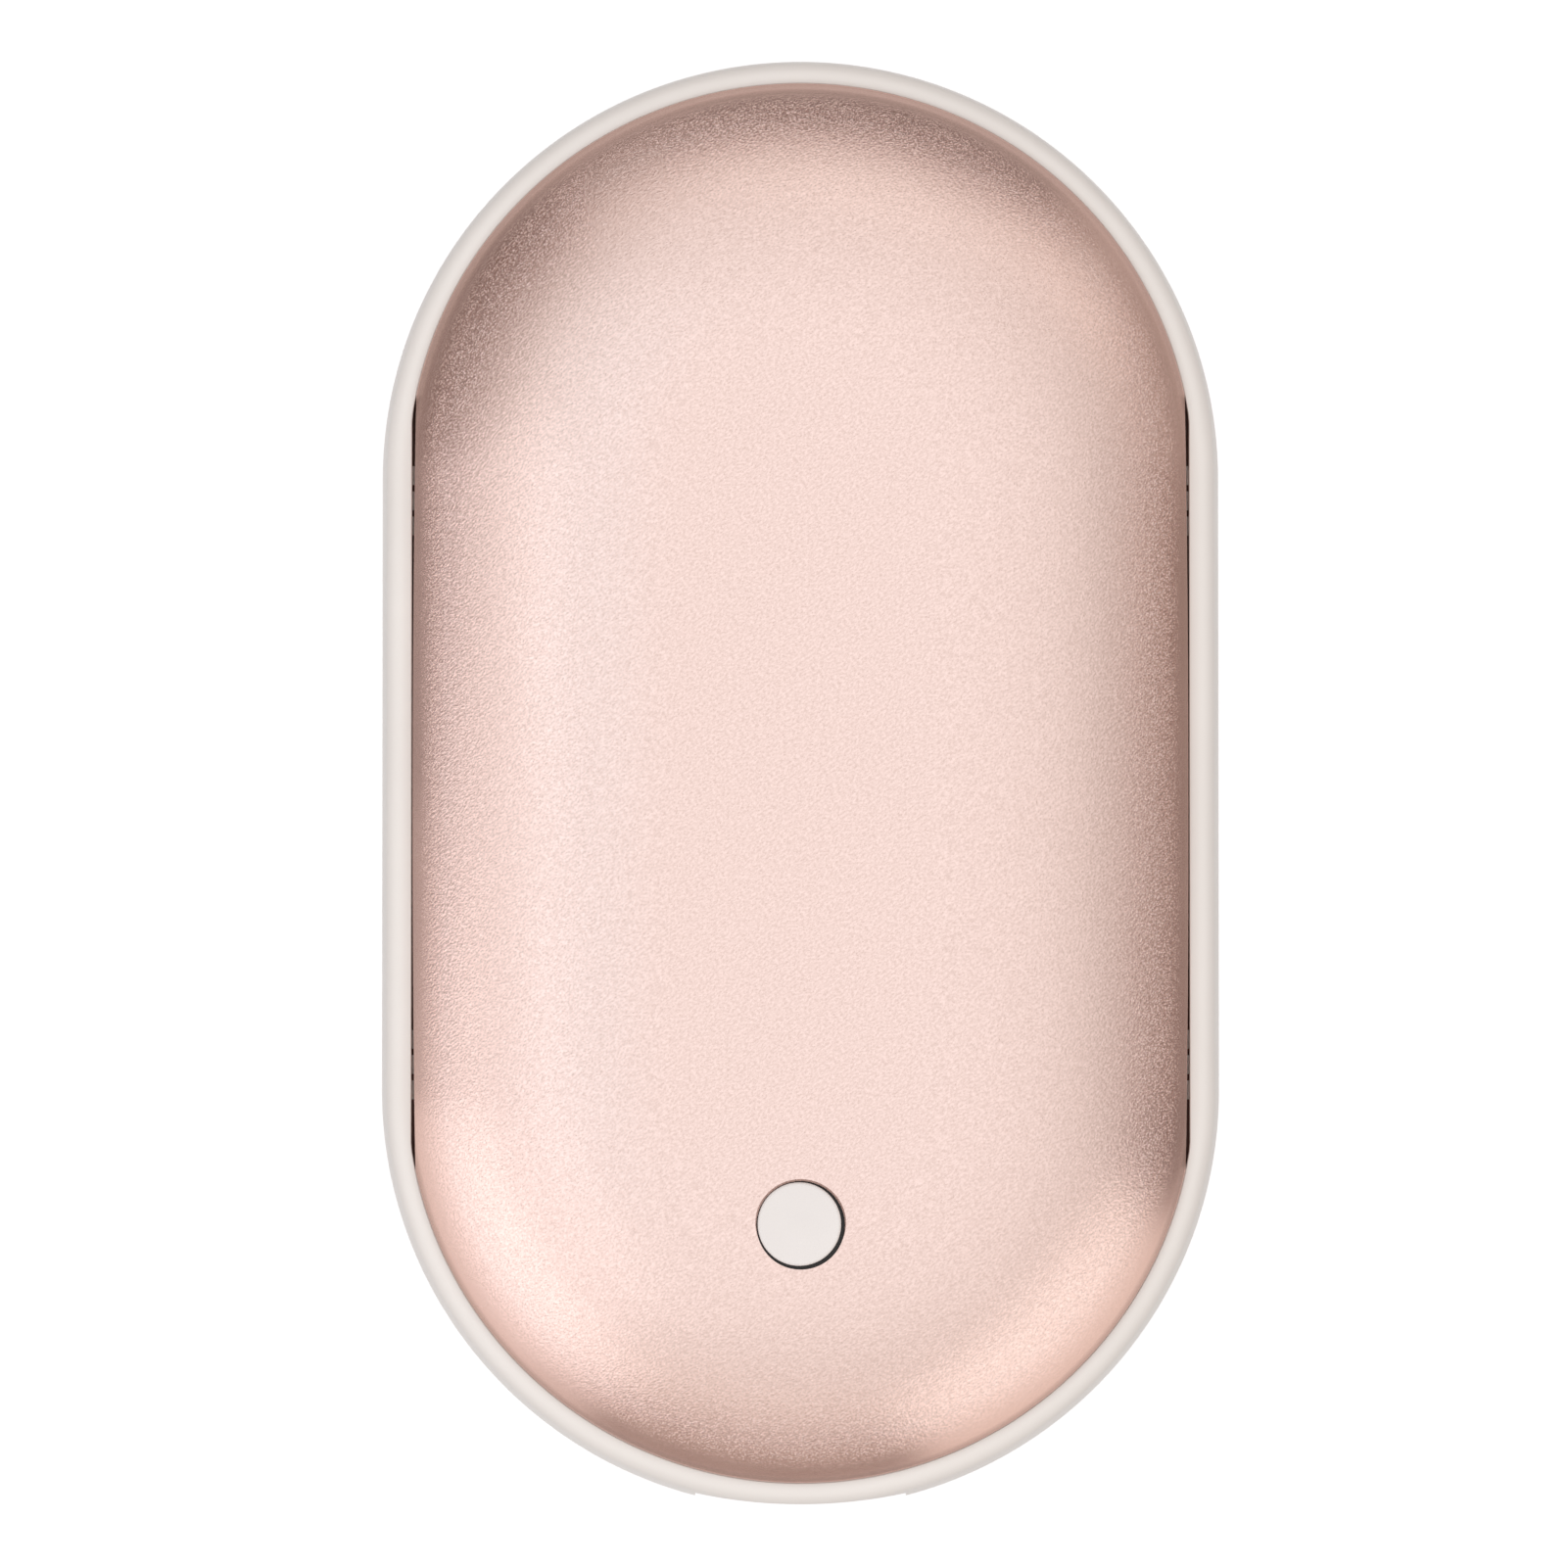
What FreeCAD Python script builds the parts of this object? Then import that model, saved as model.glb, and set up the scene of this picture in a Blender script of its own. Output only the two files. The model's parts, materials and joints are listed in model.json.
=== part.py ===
import FreeCAD, Part
import math
import os

Vector = FreeCAD.Vector

# Rechargeable hand warmer, lying on its back. Lengths are in millimetres and angles in degrees.
# +Z goes out through the front shell and -Y towards the charging socket.
# The case is worked out from what it holds, from the pouch cell outwards.

overrun = 1.0                     # how far a cutting solid passes the surface that it cuts

# Pouch cell
cell_width = 40.0
cell_length = 52.5
cell_thickness = 12.0
cell_edge_radius = 2.4
cell_clearance = 0.2              # to the tray and the lid
seal_thickness = 0.6              # sealed flap at the near end, which carries the protection board
seal_side_inset = 4.0

# Protection board of the cell
protector_width = 28.0
protector_depth = 2.0
protector_thickness = 1.0
protector_gap = 0.2               # to the cell's body

# Tray and lid round the cell
tray_wall = 1.0
tray_corner_radius = 2.0
lead_notch_width = 1.6
lead_notch_height = 1.8
corner_clearance = 0.4            # from the lid's corners to the shell
ear_gap = 0.3                     # from the ring's lugs to the tray's walls
ear_wall_gap = 0.4                # from the ears to the ring
ear_setback = 5.0                 # from the end centres to the ears
lid_ear_thickness = 1.5
tray_ear_height = 3.0

# Ring lugs
lug_radius = 2.0
lug_thickness = 2.0
board_lug_thickness = 1.8
board_lug_boss_height = 2.2
board_lug_radius = 2.2
board_lug_gap = 0.3               # from the board's edge to the lugs' upright webs

# Screws
screw_radius = 1.0
screw_head_radius = 1.7
screw_head_height = 1.1
screw_recess_length = 1.9
screw_recess_width = 0.45
screw_recess_depth = 0.55
screw_pilot_clearance = 0.05
screw_hole_clearance = 0.15
pack_screw_grip = 2.5             # thread in the tray's ears
board_screw_grip = 2.8            # thread in the ring's board lugs

# Shells
shell_wall = 0.8
flat_half_width = 8.0             # flat middle of each shell
rollover_inner_radius = 0.5       # inside of the tight bend at the shell's rim
skirt_sink = 0.1                  # how far the bend starts below the ring's top
skirt_end_gap = 0.08              # between the skirt and the ring's lip at the ends
shell_side_gap = 0.18             # the same at the middle of the sides
shell_side_bow = 0.22             # how much the sides bow outwards

# Bonding rings under the shells
bond_thickness = 0.2

# Heater films and foam pads
film_bond = 0.05
film_thickness = 0.2
film_hole_margin = 0.6            # round the button guide
film_edge_margin = 1.05           # from that hole to the film's edge
foam_thickness = 4.2
foam_gap = 0.05
foam_side_margin = 6.0
foam_end_margin = 7.0
foam_corner_radius = 3.0

# Mid ring
ring_height = 8.8
lip_thickness = 1.8
lip_side_inset = 0.27             # flats on the inside of the lip along both sides
ledge_width = 1.3
ledge_thickness = 5.4
ring_crown_radius = 16.0          # gentle bulge of the outside
ring_edge_radius = 1.3
rib_width = 1.3
rib_pitch = 1.75
rib_count = 3
rib_setback = 1.7                 # from the end centres to the middle of each group of ribs
rib_drop = 0.5                    # below the ring's top
rib_clearance = 0.05              # to the shell

# Charging end of the ring
port_flat_depth = 0.4
port_half_width = 7.1
port_face_radius = 35.0
port_mouth_recess = 0.35
port_clearance = 0.2

# Main board
board_thickness = 1.2
board_length = 17.4
board_gap = 1.6                   # to the ring
board_drop = 1.3                  # the board's top lies this far below the middle of the case
board_tray_gap = 1.42
board_screw_inset = 7.6           # from the board's rear edge

# Charging socket
socket_width = 8.94
socket_height = 3.26
socket_wall = 0.3
socket_length = 7.3
socket_back_thickness = 0.4
socket_foot_width = 1.1
socket_foot_depth = 1.1
socket_foot_thickness = 0.3
socket_foot_inset = 6.1           # from the mouth
tongue_width = 6.7
tongue_thickness = 0.7
tongue_recess = 0.9               # from the mouth
tongue_block_depth = 1.6
tongue_block_clearance = 0.05
contact_count = 12
contact_pitch = 0.5
contact_width = 0.26
contact_length = 3.4
contact_thickness = 0.05
contact_setback = 0.35            # from the tongue's tip

# Status lights
light_x = 5.85
pipe_radius = 0.45
pipe_fit = 0.03
pipe_recess = 0.05
led_width = 1.6
led_depth = 1.0
led_height = 2.1
led_gap = 0.15

# Tact switch
switch_width = 6.0
switch_depth = 3.5
switch_height = 5.0
switch_edge_margin = 0.75         # to the board's rear edge
switch_base_height = 1.8
switch_floor = 0.6
switch_cavity_radius = 1.5
switch_cover_thickness = 0.2
switch_cover_hole_clearance = 0.12
snap_radius = 1.4
snap_rise = 0.5
snap_thickness = 0.1
plunger_radius = 0.9
plunger_flange_radius = 1.3
plunger_contact_gap = 0.02
plunger_play = 0.05

# Button and its guide
button_travel = 0.3
button_hole_radius = 3.02
button_gap = 0.17
button_proud = 0.3
button_edge_radius = 0.22
button_flange_radius = 3.9
button_flange_thickness = 1.0
button_flange_gap = 0.1
button_stem_radius = 1.5
guide_fit = 0.15
guide_cup_clearance = 0.25
guide_wall = 0.8
guide_floor = 1.0
guide_room = 0.6                  # under the flange at the end of its travel
hole_edge_break = 0.1

# Parts on the main board: widths along X, depths along Y
controller_width = 6.5
controller_depth = 4.4
controller_height = 1.1
charger_width = 3.9
charger_depth = 4.9
charger_height = 1.4
charger_switch_gap = 0.8          # from the charger's legs to the switch
transistor_width = 2.9
transistor_depth = 1.4
transistor_height = 1.0
inductor_width = 6.0
inductor_depth = 6.0
inductor_height = 2.8
inductor_corner = 0.9
capacitor_width = 2.0
capacitor_depth = 1.25
capacitor_height = 0.9
capacitor_count = 3
resistor_width = 1.6
resistor_depth = 0.8
resistor_height = 0.45
resistor_pitch = 1.6
chip_leg_width = 0.3
chip_leg_reach = 0.7
chip_leg_height = 0.25
chip_leg_pitch = 1.0
chip_lift = 0.1
part_gap = 0.45                   # between neighbours on the board

# Leads
lead_radius = 0.5
lead_x = 4.6
lead_pad_inset = 1.6              # from the board's rear edge
heater_lead_radius = 0.4
heater_lead_top_x = 8.6
heater_lead_pad_x = 7.4
heater_lead_top_inset = 5.0       # from the board's rear edge
heater_lead_pad_inset = 2.4
heater_lead_gap = 0.1             # under the film, where solder fills it
heater_lead_shoulder_share = 0.34
bend_share = 0.45                 # of the shorter run beside a bend

# Thermistor
thermistor_radius = 1.1
thermistor_length = 2.6
thermistor_leg_radius = 0.25
thermistor_leg_spacing = 1.2
thermistor_inset = 6.4            # from the board's rear edge
thermistor_gap = 0.1              # over the film, where a dab of glue fills it

# Thickness, from the middle of the cell outwards
half_thickness = (cell_thickness / 2 + cell_clearance + tray_wall + foam_thickness + foam_gap
                  + film_thickness + film_bond + shell_wall)
case_thickness = 2 * half_thickness
mid_z = half_thickness
tray_half_height = cell_thickness / 2 + cell_clearance + tray_wall
lid_top = mid_z + tray_half_height
ring_top = mid_z + ring_height / 2
ring_bottom = mid_z - ring_height / 2
ledge_top = mid_z + ledge_thickness / 2
ledge_bottom = mid_z - ledge_thickness / 2
skirt_bottom = ledge_top + bond_thickness
rollover_z = ring_top - skirt_sink

# Width, from the cell outwards
tray_half_width = cell_width / 2 + cell_clearance + tray_wall
lug_x = tray_half_width + ear_gap + lug_radius
ring_inner_radius = lug_x + lug_radius + ear_wall_gap
lip_radius = ring_inner_radius + ledge_width
ring_radius = lip_radius + lip_thickness
lip_side_half = lip_radius - lip_side_inset
shell_radius = lip_radius - skirt_end_gap
shell_side_half = lip_side_half - shell_side_gap

# Places on the main board: X, and setbacks from its rear edge
charger_setback = (switch_edge_margin + switch_depth + charger_switch_gap + chip_leg_reach
                   + charger_depth / 2)
column_x = charger_width / 2 + part_gap + resistor_width / 2
controller_x = column_x + resistor_width / 2 + part_gap + controller_width / 2
inductor_x = -(column_x + resistor_width / 2 + part_gap + inductor_width / 2)
first_row_setback = switch_edge_margin + switch_depth + transistor_depth / 2
controller_setback = (first_row_setback + transistor_depth / 2 + part_gap + chip_leg_reach
                      + controller_depth / 2)
inductor_setback = first_row_setback + transistor_depth / 2 + part_gap + inductor_depth / 2
board_screw_x = controller_x + controller_width / 2 + part_gap + screw_head_radius

# Dome of a shell: a flat middle, one large arc and the tight bend at the rim
rollover_radius = shell_wall + rollover_inner_radius
dome_run = shell_radius - flat_half_width - rollover_radius
dome_rise = case_thickness - rollover_z
dome_radius = (dome_run ** 2 + dome_rise ** 2 - rollover_radius ** 2) / (2 * (dome_rise - rollover_radius))
dome_z = case_thickness - dome_radius

# Length: the tray's far end lies as far out as the dome over its corners lets it, and its near end
# behind the board, or as far out as the dome lets it where that is less
lid_drop = case_thickness - shell_wall - lid_top
dome_inner_radius = dome_radius - shell_wall
corner_reach = flat_half_width + math.sqrt(dome_inner_radius ** 2 - (dome_inner_radius - lid_drop) ** 2)
corner_arm = corner_reach - corner_clearance - tray_corner_radius
tray_overhang = tray_corner_radius + math.sqrt(corner_arm ** 2 - (tray_half_width - tray_corner_radius) ** 2)
board_radius = ring_inner_radius - board_gap
board_rear_offset = board_radius - board_length
tray_near_offset = min(board_rear_offset - board_tray_gap, tray_overhang)
tray_length = cell_length + protector_gap + protector_depth + 2 * (cell_clearance + tray_wall)
centre_span = tray_length - tray_overhang - tray_near_offset
case_length = centre_span + 2 * ring_radius - port_flat_depth
port_y = -case_length / 2
near_y = port_y - port_flat_depth + ring_radius
far_y = near_y + centre_span

# Places along Y
board_rear_y = near_y - board_rear_offset
tray_near_y = near_y - tray_near_offset
tray_far_y = tray_near_y + tray_length
protector_near_y = tray_near_y + tray_wall + cell_clearance
cell_near_y = protector_near_y + protector_depth + protector_gap
cell_far_y = cell_near_y + cell_length
button_y = board_rear_y - switch_edge_margin - switch_depth / 2
button_offset = near_y - button_y
ear_places = [(side * lug_x, y) for side in (-1, 1) for y in (near_y + ear_setback, far_y - ear_setback)]
board_screw_places = [(side * board_screw_x, board_rear_y - board_screw_inset) for side in (-1, 1)]

# Heights of the lugs, the board and the switch
lug_bottom = mid_z - lug_thickness / 2
lug_top = mid_z + lug_thickness / 2
board_top = mid_z - board_drop
board_bottom = board_top - board_thickness
socket_z = board_top + socket_height / 2
plunger_top = board_top + switch_height


def dome_height(reach, inset):
    """Height of the front dome at a distance from the flat line's axis, moved inwards by inset."""
    past_flat = max(reach - flat_half_width, 0)
    return dome_z + math.sqrt((dome_radius - inset) ** 2 - past_flat ** 2)


button_flange_top = dome_height(button_offset + button_flange_radius, shell_wall) - button_flange_gap
button_flange_bottom = button_flange_top - button_flange_thickness
guide_floor_top = button_flange_bottom - button_travel - guide_room
guide_inner_radius = button_flange_radius + guide_cup_clearance
guide_outer_radius = guide_inner_radius + guide_wall
film_hole_radius = guide_outer_radius + film_hole_margin
film_radius = button_offset + film_hole_radius + film_edge_margin


def box(x_low, x_high, y_low, y_high, z_low, z_high):
    corner = Vector(x_low, y_low, z_low)
    return Part.makeBox(x_high - x_low, y_high - y_low, z_high - z_low, corner)


def post(radius, x, y, z_low, z_high):
    return Part.makeCylinder(radius, z_high - z_low, Vector(x, y, z_low))


def rod(radius, x, z, y_low, y_high):
    return Part.makeCylinder(radius, y_high - y_low, Vector(x, y_low, z), Vector(0, 1, 0))


def line(start, end):
    return Part.LineSegment(start, end).toShape()


def arc(start, middle, end):
    return Part.Arc(start, middle, end).toShape()


def joined(first, *others):
    return first.fuse(list(others)).removeSplitter()


def mirrored_to_back(shape):
    return shape.mirror(Vector(0, 0, mid_z), Vector(0, 0, 1))


def turned(edges):
    """Solid turned round the Z axis from a closed outline in the XZ plane."""
    return Part.Face(Part.Wire(edges)).revolve(Vector(0, 0, 0), Vector(0, 0, 1), 360)


def swept_round(edges):
    """Solid swept round both end centres and along both sides from a closed outline in the XZ plane."""
    section = Part.Face(Part.Wire(edges))
    far_section = section.translated(Vector(0, far_y, 0))
    near_section = section.translated(Vector(0, near_y, 0))
    far_end = far_section.revolve(Vector(0, far_y, 0), Vector(0, 0, 1), 180)
    near_end = near_section.revolve(Vector(0, near_y, 0), Vector(0, 0, -1), 180)
    right = near_section.extrude(Vector(0, centre_span, 0))
    left = right.mirror(Vector(0, 0, 0), Vector(1, 0, 0))
    return joined(right, left, far_end, near_end)


def stadium(radius, z_low, z_high):
    """Upright solid with a round end about each end centre."""
    edges = [
        line(Vector(radius, near_y, z_low), Vector(radius, far_y, z_low)),
        arc(Vector(radius, far_y, z_low), Vector(0, far_y + radius, z_low), Vector(-radius, far_y, z_low)),
        line(Vector(-radius, far_y, z_low), Vector(-radius, near_y, z_low)),
        arc(Vector(-radius, near_y, z_low), Vector(0, near_y - radius, z_low), Vector(radius, near_y, z_low)),
    ]
    return Part.Face(Part.Wire(edges)).extrude(Vector(0, 0, z_high - z_low))


def rounded_block(half_width, y_low, y_high, z_low, z_high, radius):
    """Upright block with its four upright edges rounded."""
    block = box(-half_width, half_width, y_low, y_high, z_low, z_high)
    upright = [edge for edge in block.Edges if edge.Vertexes[0].X == edge.Vertexes[1].X
               and edge.Vertexes[0].Y == edge.Vertexes[1].Y]
    return block.makeFillet(radius, upright)


def side_limit(inset, z_low, z_high):
    """Slab with bowed sides that holds a shell's sides in."""
    half = shell_side_half - inset
    corner = half - shell_side_bow
    reach = math.sqrt((shell_radius - inset) ** 2 - corner ** 2)
    half_span = centre_span / 2 + reach
    bow_radius = (half_span ** 2 + shell_side_bow ** 2) / (2 * shell_side_bow)
    middle = (near_y + far_y) / 2
    half_length = centre_span / 2 + shell_radius + overrun
    end_half = half - bow_radius + math.sqrt(bow_radius ** 2 - half_length ** 2)
    near = middle - half_length
    far = middle + half_length
    edges = [
        arc(Vector(end_half, near, z_low), Vector(half, middle, z_low), Vector(end_half, far, z_low)),
        line(Vector(end_half, far, z_low), Vector(-end_half, far, z_low)),
        arc(Vector(-end_half, far, z_low), Vector(-half, middle, z_low), Vector(-end_half, near, z_low)),
        line(Vector(-end_half, near, z_low), Vector(end_half, near, z_low)),
    ]
    return Part.Face(Part.Wire(edges)).extrude(Vector(0, 0, z_high - z_low))


def dome_solid(inset, z_low):
    """Solid under the front shell's outer face, moved inwards by inset and standing on z_low."""
    top = case_thickness - inset
    rim = shell_radius - inset
    large = dome_radius - inset
    small = rollover_radius - inset
    bend_x = shell_radius - rollover_radius
    lean = math.atan2(bend_x - flat_half_width, rollover_z - dome_z)
    half_lean = lean / 2
    bend_lean = (lean + math.pi / 2) / 2
    on_dome = Vector(flat_half_width + large * math.sin(half_lean), 0, dome_z + large * math.cos(half_lean))
    meeting = Vector(flat_half_width + large * math.sin(lean), 0, dome_z + large * math.cos(lean))
    on_bend = Vector(bend_x + small * math.sin(bend_lean), 0, rollover_z + small * math.cos(bend_lean))
    return swept_round([
        line(Vector(0, 0, top), Vector(flat_half_width, 0, top)),
        arc(Vector(flat_half_width, 0, top), on_dome, meeting),
        arc(meeting, on_bend, Vector(rim, 0, rollover_z)),
        line(Vector(rim, 0, rollover_z), Vector(rim, 0, z_low)),
        line(Vector(rim, 0, z_low), Vector(0, 0, z_low)),
        line(Vector(0, 0, z_low), Vector(0, 0, top)),
    ])


def crown_solid(inset, reach, z_low):
    """Solid under the middle of the front dome, moved inwards by inset, out to a reach from the axis."""
    top = case_thickness - inset
    large = dome_radius - inset
    half_lean = math.asin((reach - flat_half_width) / large) / 2
    on_dome = Vector(flat_half_width + large * math.sin(half_lean), 0, dome_z + large * math.cos(half_lean))
    edge = Vector(reach, 0, dome_height(reach, inset))
    return swept_round([
        line(Vector(0, 0, top), Vector(flat_half_width, 0, top)),
        arc(Vector(flat_half_width, 0, top), on_dome, edge),
        line(edge, Vector(reach, 0, z_low)),
        line(Vector(reach, 0, z_low), Vector(0, 0, z_low)),
        line(Vector(0, 0, z_low), Vector(0, 0, top)),
    ])


def plain_shell():
    top = case_thickness + overrun
    inner_low = skirt_bottom - overrun
    outer = dome_solid(0, skirt_bottom).common(side_limit(0, skirt_bottom, top))
    inner = dome_solid(shell_wall, inner_low).common(side_limit(shell_wall, inner_low, top))
    return outer.cut(inner)


def front_shell(shell):
    surface = dome_height(button_offset, 0)
    hole = post(button_hole_radius, 0, button_y, surface - shell_wall - overrun, surface + overrun)
    broken_edge = Part.makeCone(button_hole_radius, button_hole_radius + hole_edge_break + overrun,
                                hole_edge_break + overrun, Vector(0, button_y, surface - hole_edge_break))
    return shell.cut(hole).cut(broken_edge)


def adhesive():
    outer = stadium(shell_radius, ledge_top, skirt_bottom).common(side_limit(0, ledge_top, skirt_bottom))
    low = ledge_top - overrun
    high = skirt_bottom + overrun
    inner = stadium(shell_radius - shell_wall, low, high).common(side_limit(shell_wall, low, high))
    return outer.cut(inner)


def ring_band():
    """Band with a gently bulging outside and rounded edges, before its recesses are cut."""
    crown_x = ring_radius - ring_crown_radius
    edge_height = ring_height / 2 - ring_edge_radius
    edge_run = math.sqrt((ring_crown_radius - ring_edge_radius) ** 2 - edge_height ** 2)
    lean = math.atan2(edge_height, edge_run)

    def on_edge(angle, side):
        rise = edge_height + ring_edge_radius * math.sin(angle)
        return Vector(crown_x + edge_run + ring_edge_radius * math.cos(angle), 0, mid_z + side * rise)

    square = math.pi / 2
    halfway = (lean + square) / 2
    bottom_corner = Vector(ring_inner_radius, 0, ring_bottom)
    top_corner = Vector(ring_inner_radius, 0, ring_top)
    return swept_round([
        line(bottom_corner, on_edge(square, -1)),
        arc(on_edge(square, -1), on_edge(halfway, -1), on_edge(lean, -1)),
        arc(on_edge(lean, -1), Vector(ring_radius, 0, mid_z), on_edge(lean, 1)),
        arc(on_edge(lean, 1), on_edge(halfway, 1), on_edge(square, 1)),
        line(on_edge(square, 1), top_corner),
        line(top_corner, bottom_corner),
    ])


def rebate():
    """Recess in the ring's top for the front shell's skirt."""
    top = ring_top + overrun
    reach = centre_span + ring_radius
    sides = box(-lip_side_half, lip_side_half, -reach, reach, ledge_top, top)
    return stadium(lip_radius, ledge_top, top).common(sides)


def ribs():
    """Groups of small upright ribs that centre the front shell along its sides."""
    found = []
    inner = shell_side_half + rib_clearance
    outer = lip_side_half + lip_thickness / 2
    for middle in (near_y + rib_setback, far_y - rib_setback):
        for number in range(rib_count):
            y = middle + (number - (rib_count - 1) / 2) * rib_pitch
            rib = box(inner, outer, y - rib_width / 2, y + rib_width / 2, ledge_top, ring_top - rib_drop)
            found += [rib, rib.mirror(Vector(0, 0, 0), Vector(1, 0, 0))]
    return found


def spoke(x, y, angle, start, end, half_width, z_low, z_high):
    """Bar at an angle to the X axis, from one distance to another from an upright line."""
    bar = box(start, end, -half_width, half_width, z_low, z_high)
    bar.rotate(Vector(0, 0, 0), Vector(0, 0, 1), angle)
    bar.translate(Vector(x, y, 0))
    return bar


def lug(x, y, angle, radius, reach, z_low, z_high):
    """Round lug with a bar of the same width that runs out from it."""
    return joined(post(radius, x, y, z_low, z_high), spoke(x, y, angle, 0, reach, radius, z_low, z_high))


def board_lug(x, y):
    """Lug and boss under the main board, carried by an upright web between the board's edge and the ring."""
    distance = math.hypot(x, y - near_y)
    angle = math.degrees(math.atan2(y - near_y, x))
    low = board_bottom - board_lug_thickness
    web_start = board_radius + board_lug_gap
    ledge_middle = ring_inner_radius + ledge_width / 2
    bar = lug(x, y, angle, board_lug_radius, ledge_middle - distance, low, board_bottom)
    web = spoke(0, near_y, angle, web_start, ledge_middle, board_lug_radius, low, mid_z)
    inside = joined(bar, web).common(post(ring_inner_radius, 0, near_y, low, mid_z))
    root = spoke(0, near_y, angle, web_start, ledge_middle, board_lug_radius, ledge_bottom, mid_z)
    boss = post(board_lug_radius, x, y, low - board_lug_boss_height, low)
    return joined(inside, root, boss)


def rounded_slot(width, height, y_low, y_high):
    """Level bar along Y with half-round sides, in line with the charging socket."""
    side_radius = height / 2
    half_flat = width / 2 - side_radius
    middle = box(-half_flat, half_flat, y_low, y_high, socket_z - side_radius, socket_z + side_radius)
    rounds = [rod(side_radius, x, socket_z, y_low, y_high) for x in (-half_flat, half_flat)]
    return joined(middle, *rounds)


def port_face_column(recess):
    """Tall round column whose nearest line is the charging face, set back by recess."""
    radius = port_face_radius - recess
    return post(radius, 0, port_y + port_face_radius, ring_bottom - overrun, ring_top + overrun)


def mid_ring():
    inner_y = near_y - math.sqrt(ring_inner_radius ** 2 - port_half_width ** 2)
    outer_y = near_y - ring_radius - overrun
    top_recess = rebate()
    ring = ring_band().cut(top_recess).cut(mirrored_to_back(top_recess))
    side_lugs = []
    for x, y in ear_places:
        angle = 0 if x > 0 else 180
        reach = ring_inner_radius + ledge_width / 2 - lug_x
        side_lugs.append(lug(x, y, angle, lug_radius, reach, lug_bottom, lug_top))
    board_lugs = [board_lug(x, y) for x, y in board_screw_places]
    front_ribs = ribs()
    back_ribs = [mirrored_to_back(rib) for rib in front_ribs]
    ring = joined(ring, *side_lugs, *board_lugs, *front_ribs, *back_ribs)
    holes = [post(screw_radius + screw_hole_clearance, x, y, lug_bottom - overrun, lug_top + overrun)
             for x, y in ear_places]
    pilot_low = board_top - board_thickness - board_screw_grip - overrun
    holes += [post(screw_radius + screw_pilot_clearance, x, y, pilot_low, board_bottom + overrun)
              for x, y in board_screw_places]
    face = box(-port_half_width, port_half_width, outer_y, inner_y, ring_bottom - overrun, ring_top + overrun)
    mouth = rounded_slot(socket_width + 2 * port_clearance, socket_height + 2 * port_clearance,
                         outer_y, inner_y + overrun)
    bores = [rod(pipe_radius + pipe_fit, side * light_x, socket_z, outer_y, inner_y + overrun)
             for side in (-1, 1)]
    return ring.cut(face.cut(port_face_column(0))).cut(holes + [mouth] + bores)


def half_tray(ear_low, ear_high, hole_radius):
    """Open box over the upper half of the cell, with an ear at each of the ring's lugs."""
    outer = rounded_block(tray_half_width, tray_near_y, tray_far_y, mid_z, lid_top, tray_corner_radius)
    ears = []
    holes = []
    for x, y in ear_places:
        angle = 180 if x > 0 else 0
        ears.append(lug(x, y, angle, lug_radius, ear_gap + lug_radius + tray_wall / 2, ear_low, ear_high))
        holes.append(post(hole_radius, x, y, ear_low - overrun, ear_high + overrun))
    inner = box(-tray_half_width + tray_wall, tray_half_width - tray_wall, tray_near_y + tray_wall,
                tray_far_y - tray_wall, mid_z - overrun, lid_top - tray_wall)
    return joined(outer, *ears).cut(holes + [inner])


def battery_lid():
    lid = half_tray(lug_top, lug_top + lid_ear_thickness, screw_radius + screw_hole_clearance)
    notches = [box(x - lead_notch_width / 2, x + lead_notch_width / 2, tray_near_y - overrun,
                   tray_near_y + tray_wall + overrun, mid_z - overrun, mid_z + lead_notch_height)
               for x in (-lead_x, lead_x)]
    return lid.cut(notches)


def battery_tray():
    upper = half_tray(lug_top, lug_top + tray_ear_height, screw_radius + screw_pilot_clearance)
    return mirrored_to_back(upper)


def pouch_cell():
    half_width = cell_width / 2
    half = cell_thickness / 2
    body = box(-half_width, half_width, cell_near_y, cell_far_y, mid_z - half, mid_z + half)
    long_edges = [edge for edge in body.Edges if edge.Vertexes[0].X == edge.Vertexes[1].X
                  and edge.Vertexes[0].Z == edge.Vertexes[1].Z]
    body = body.makeFillet(cell_edge_radius, long_edges)
    flap = box(-half_width + seal_side_inset, half_width - seal_side_inset, protector_near_y, cell_near_y,
               mid_z - seal_thickness / 2, mid_z + seal_thickness / 2)
    return joined(body, flap)


def protection_board():
    low = mid_z + seal_thickness / 2
    return box(-protector_width / 2, protector_width / 2, protector_near_y,
               protector_near_y + protector_depth, low, low + protector_thickness)


def screw(x, y, head_z, length):
    shank = post(screw_radius, x, y, head_z - length, head_z)
    head = post(screw_head_radius, x, y, head_z, head_z + screw_head_height)
    low = head_z + screw_head_height - screw_recess_depth
    high = head_z + screw_head_height + overrun
    arm = screw_recess_length / 2
    half = screw_recess_width / 2
    cross = [box(x - arm, x + arm, y - half, y + half, low, high),
             box(x - half, x + half, y - arm, y + arm, low, high)]
    return joined(shank, head).cut(cross)


def pack_screws():
    length = lid_ear_thickness + lug_thickness + pack_screw_grip
    return Part.Compound([screw(x, y, lug_top + lid_ear_thickness, length) for x, y in ear_places])


def board_screws():
    length = board_thickness + board_screw_grip
    return Part.Compound([screw(x, y, board_top, length) for x, y in board_screw_places])


def heater_film():
    """Thin film that follows the inside of the front shell."""
    outer = shell_wall + film_bond
    low = lid_top
    layer = crown_solid(outer, film_radius, low)
    return layer.cut(crown_solid(outer + film_thickness, film_radius + overrun, low - overrun))


def front_heater_film(film):
    return film.cut(post(film_hole_radius, 0, button_y, lid_top, case_thickness))


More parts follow.
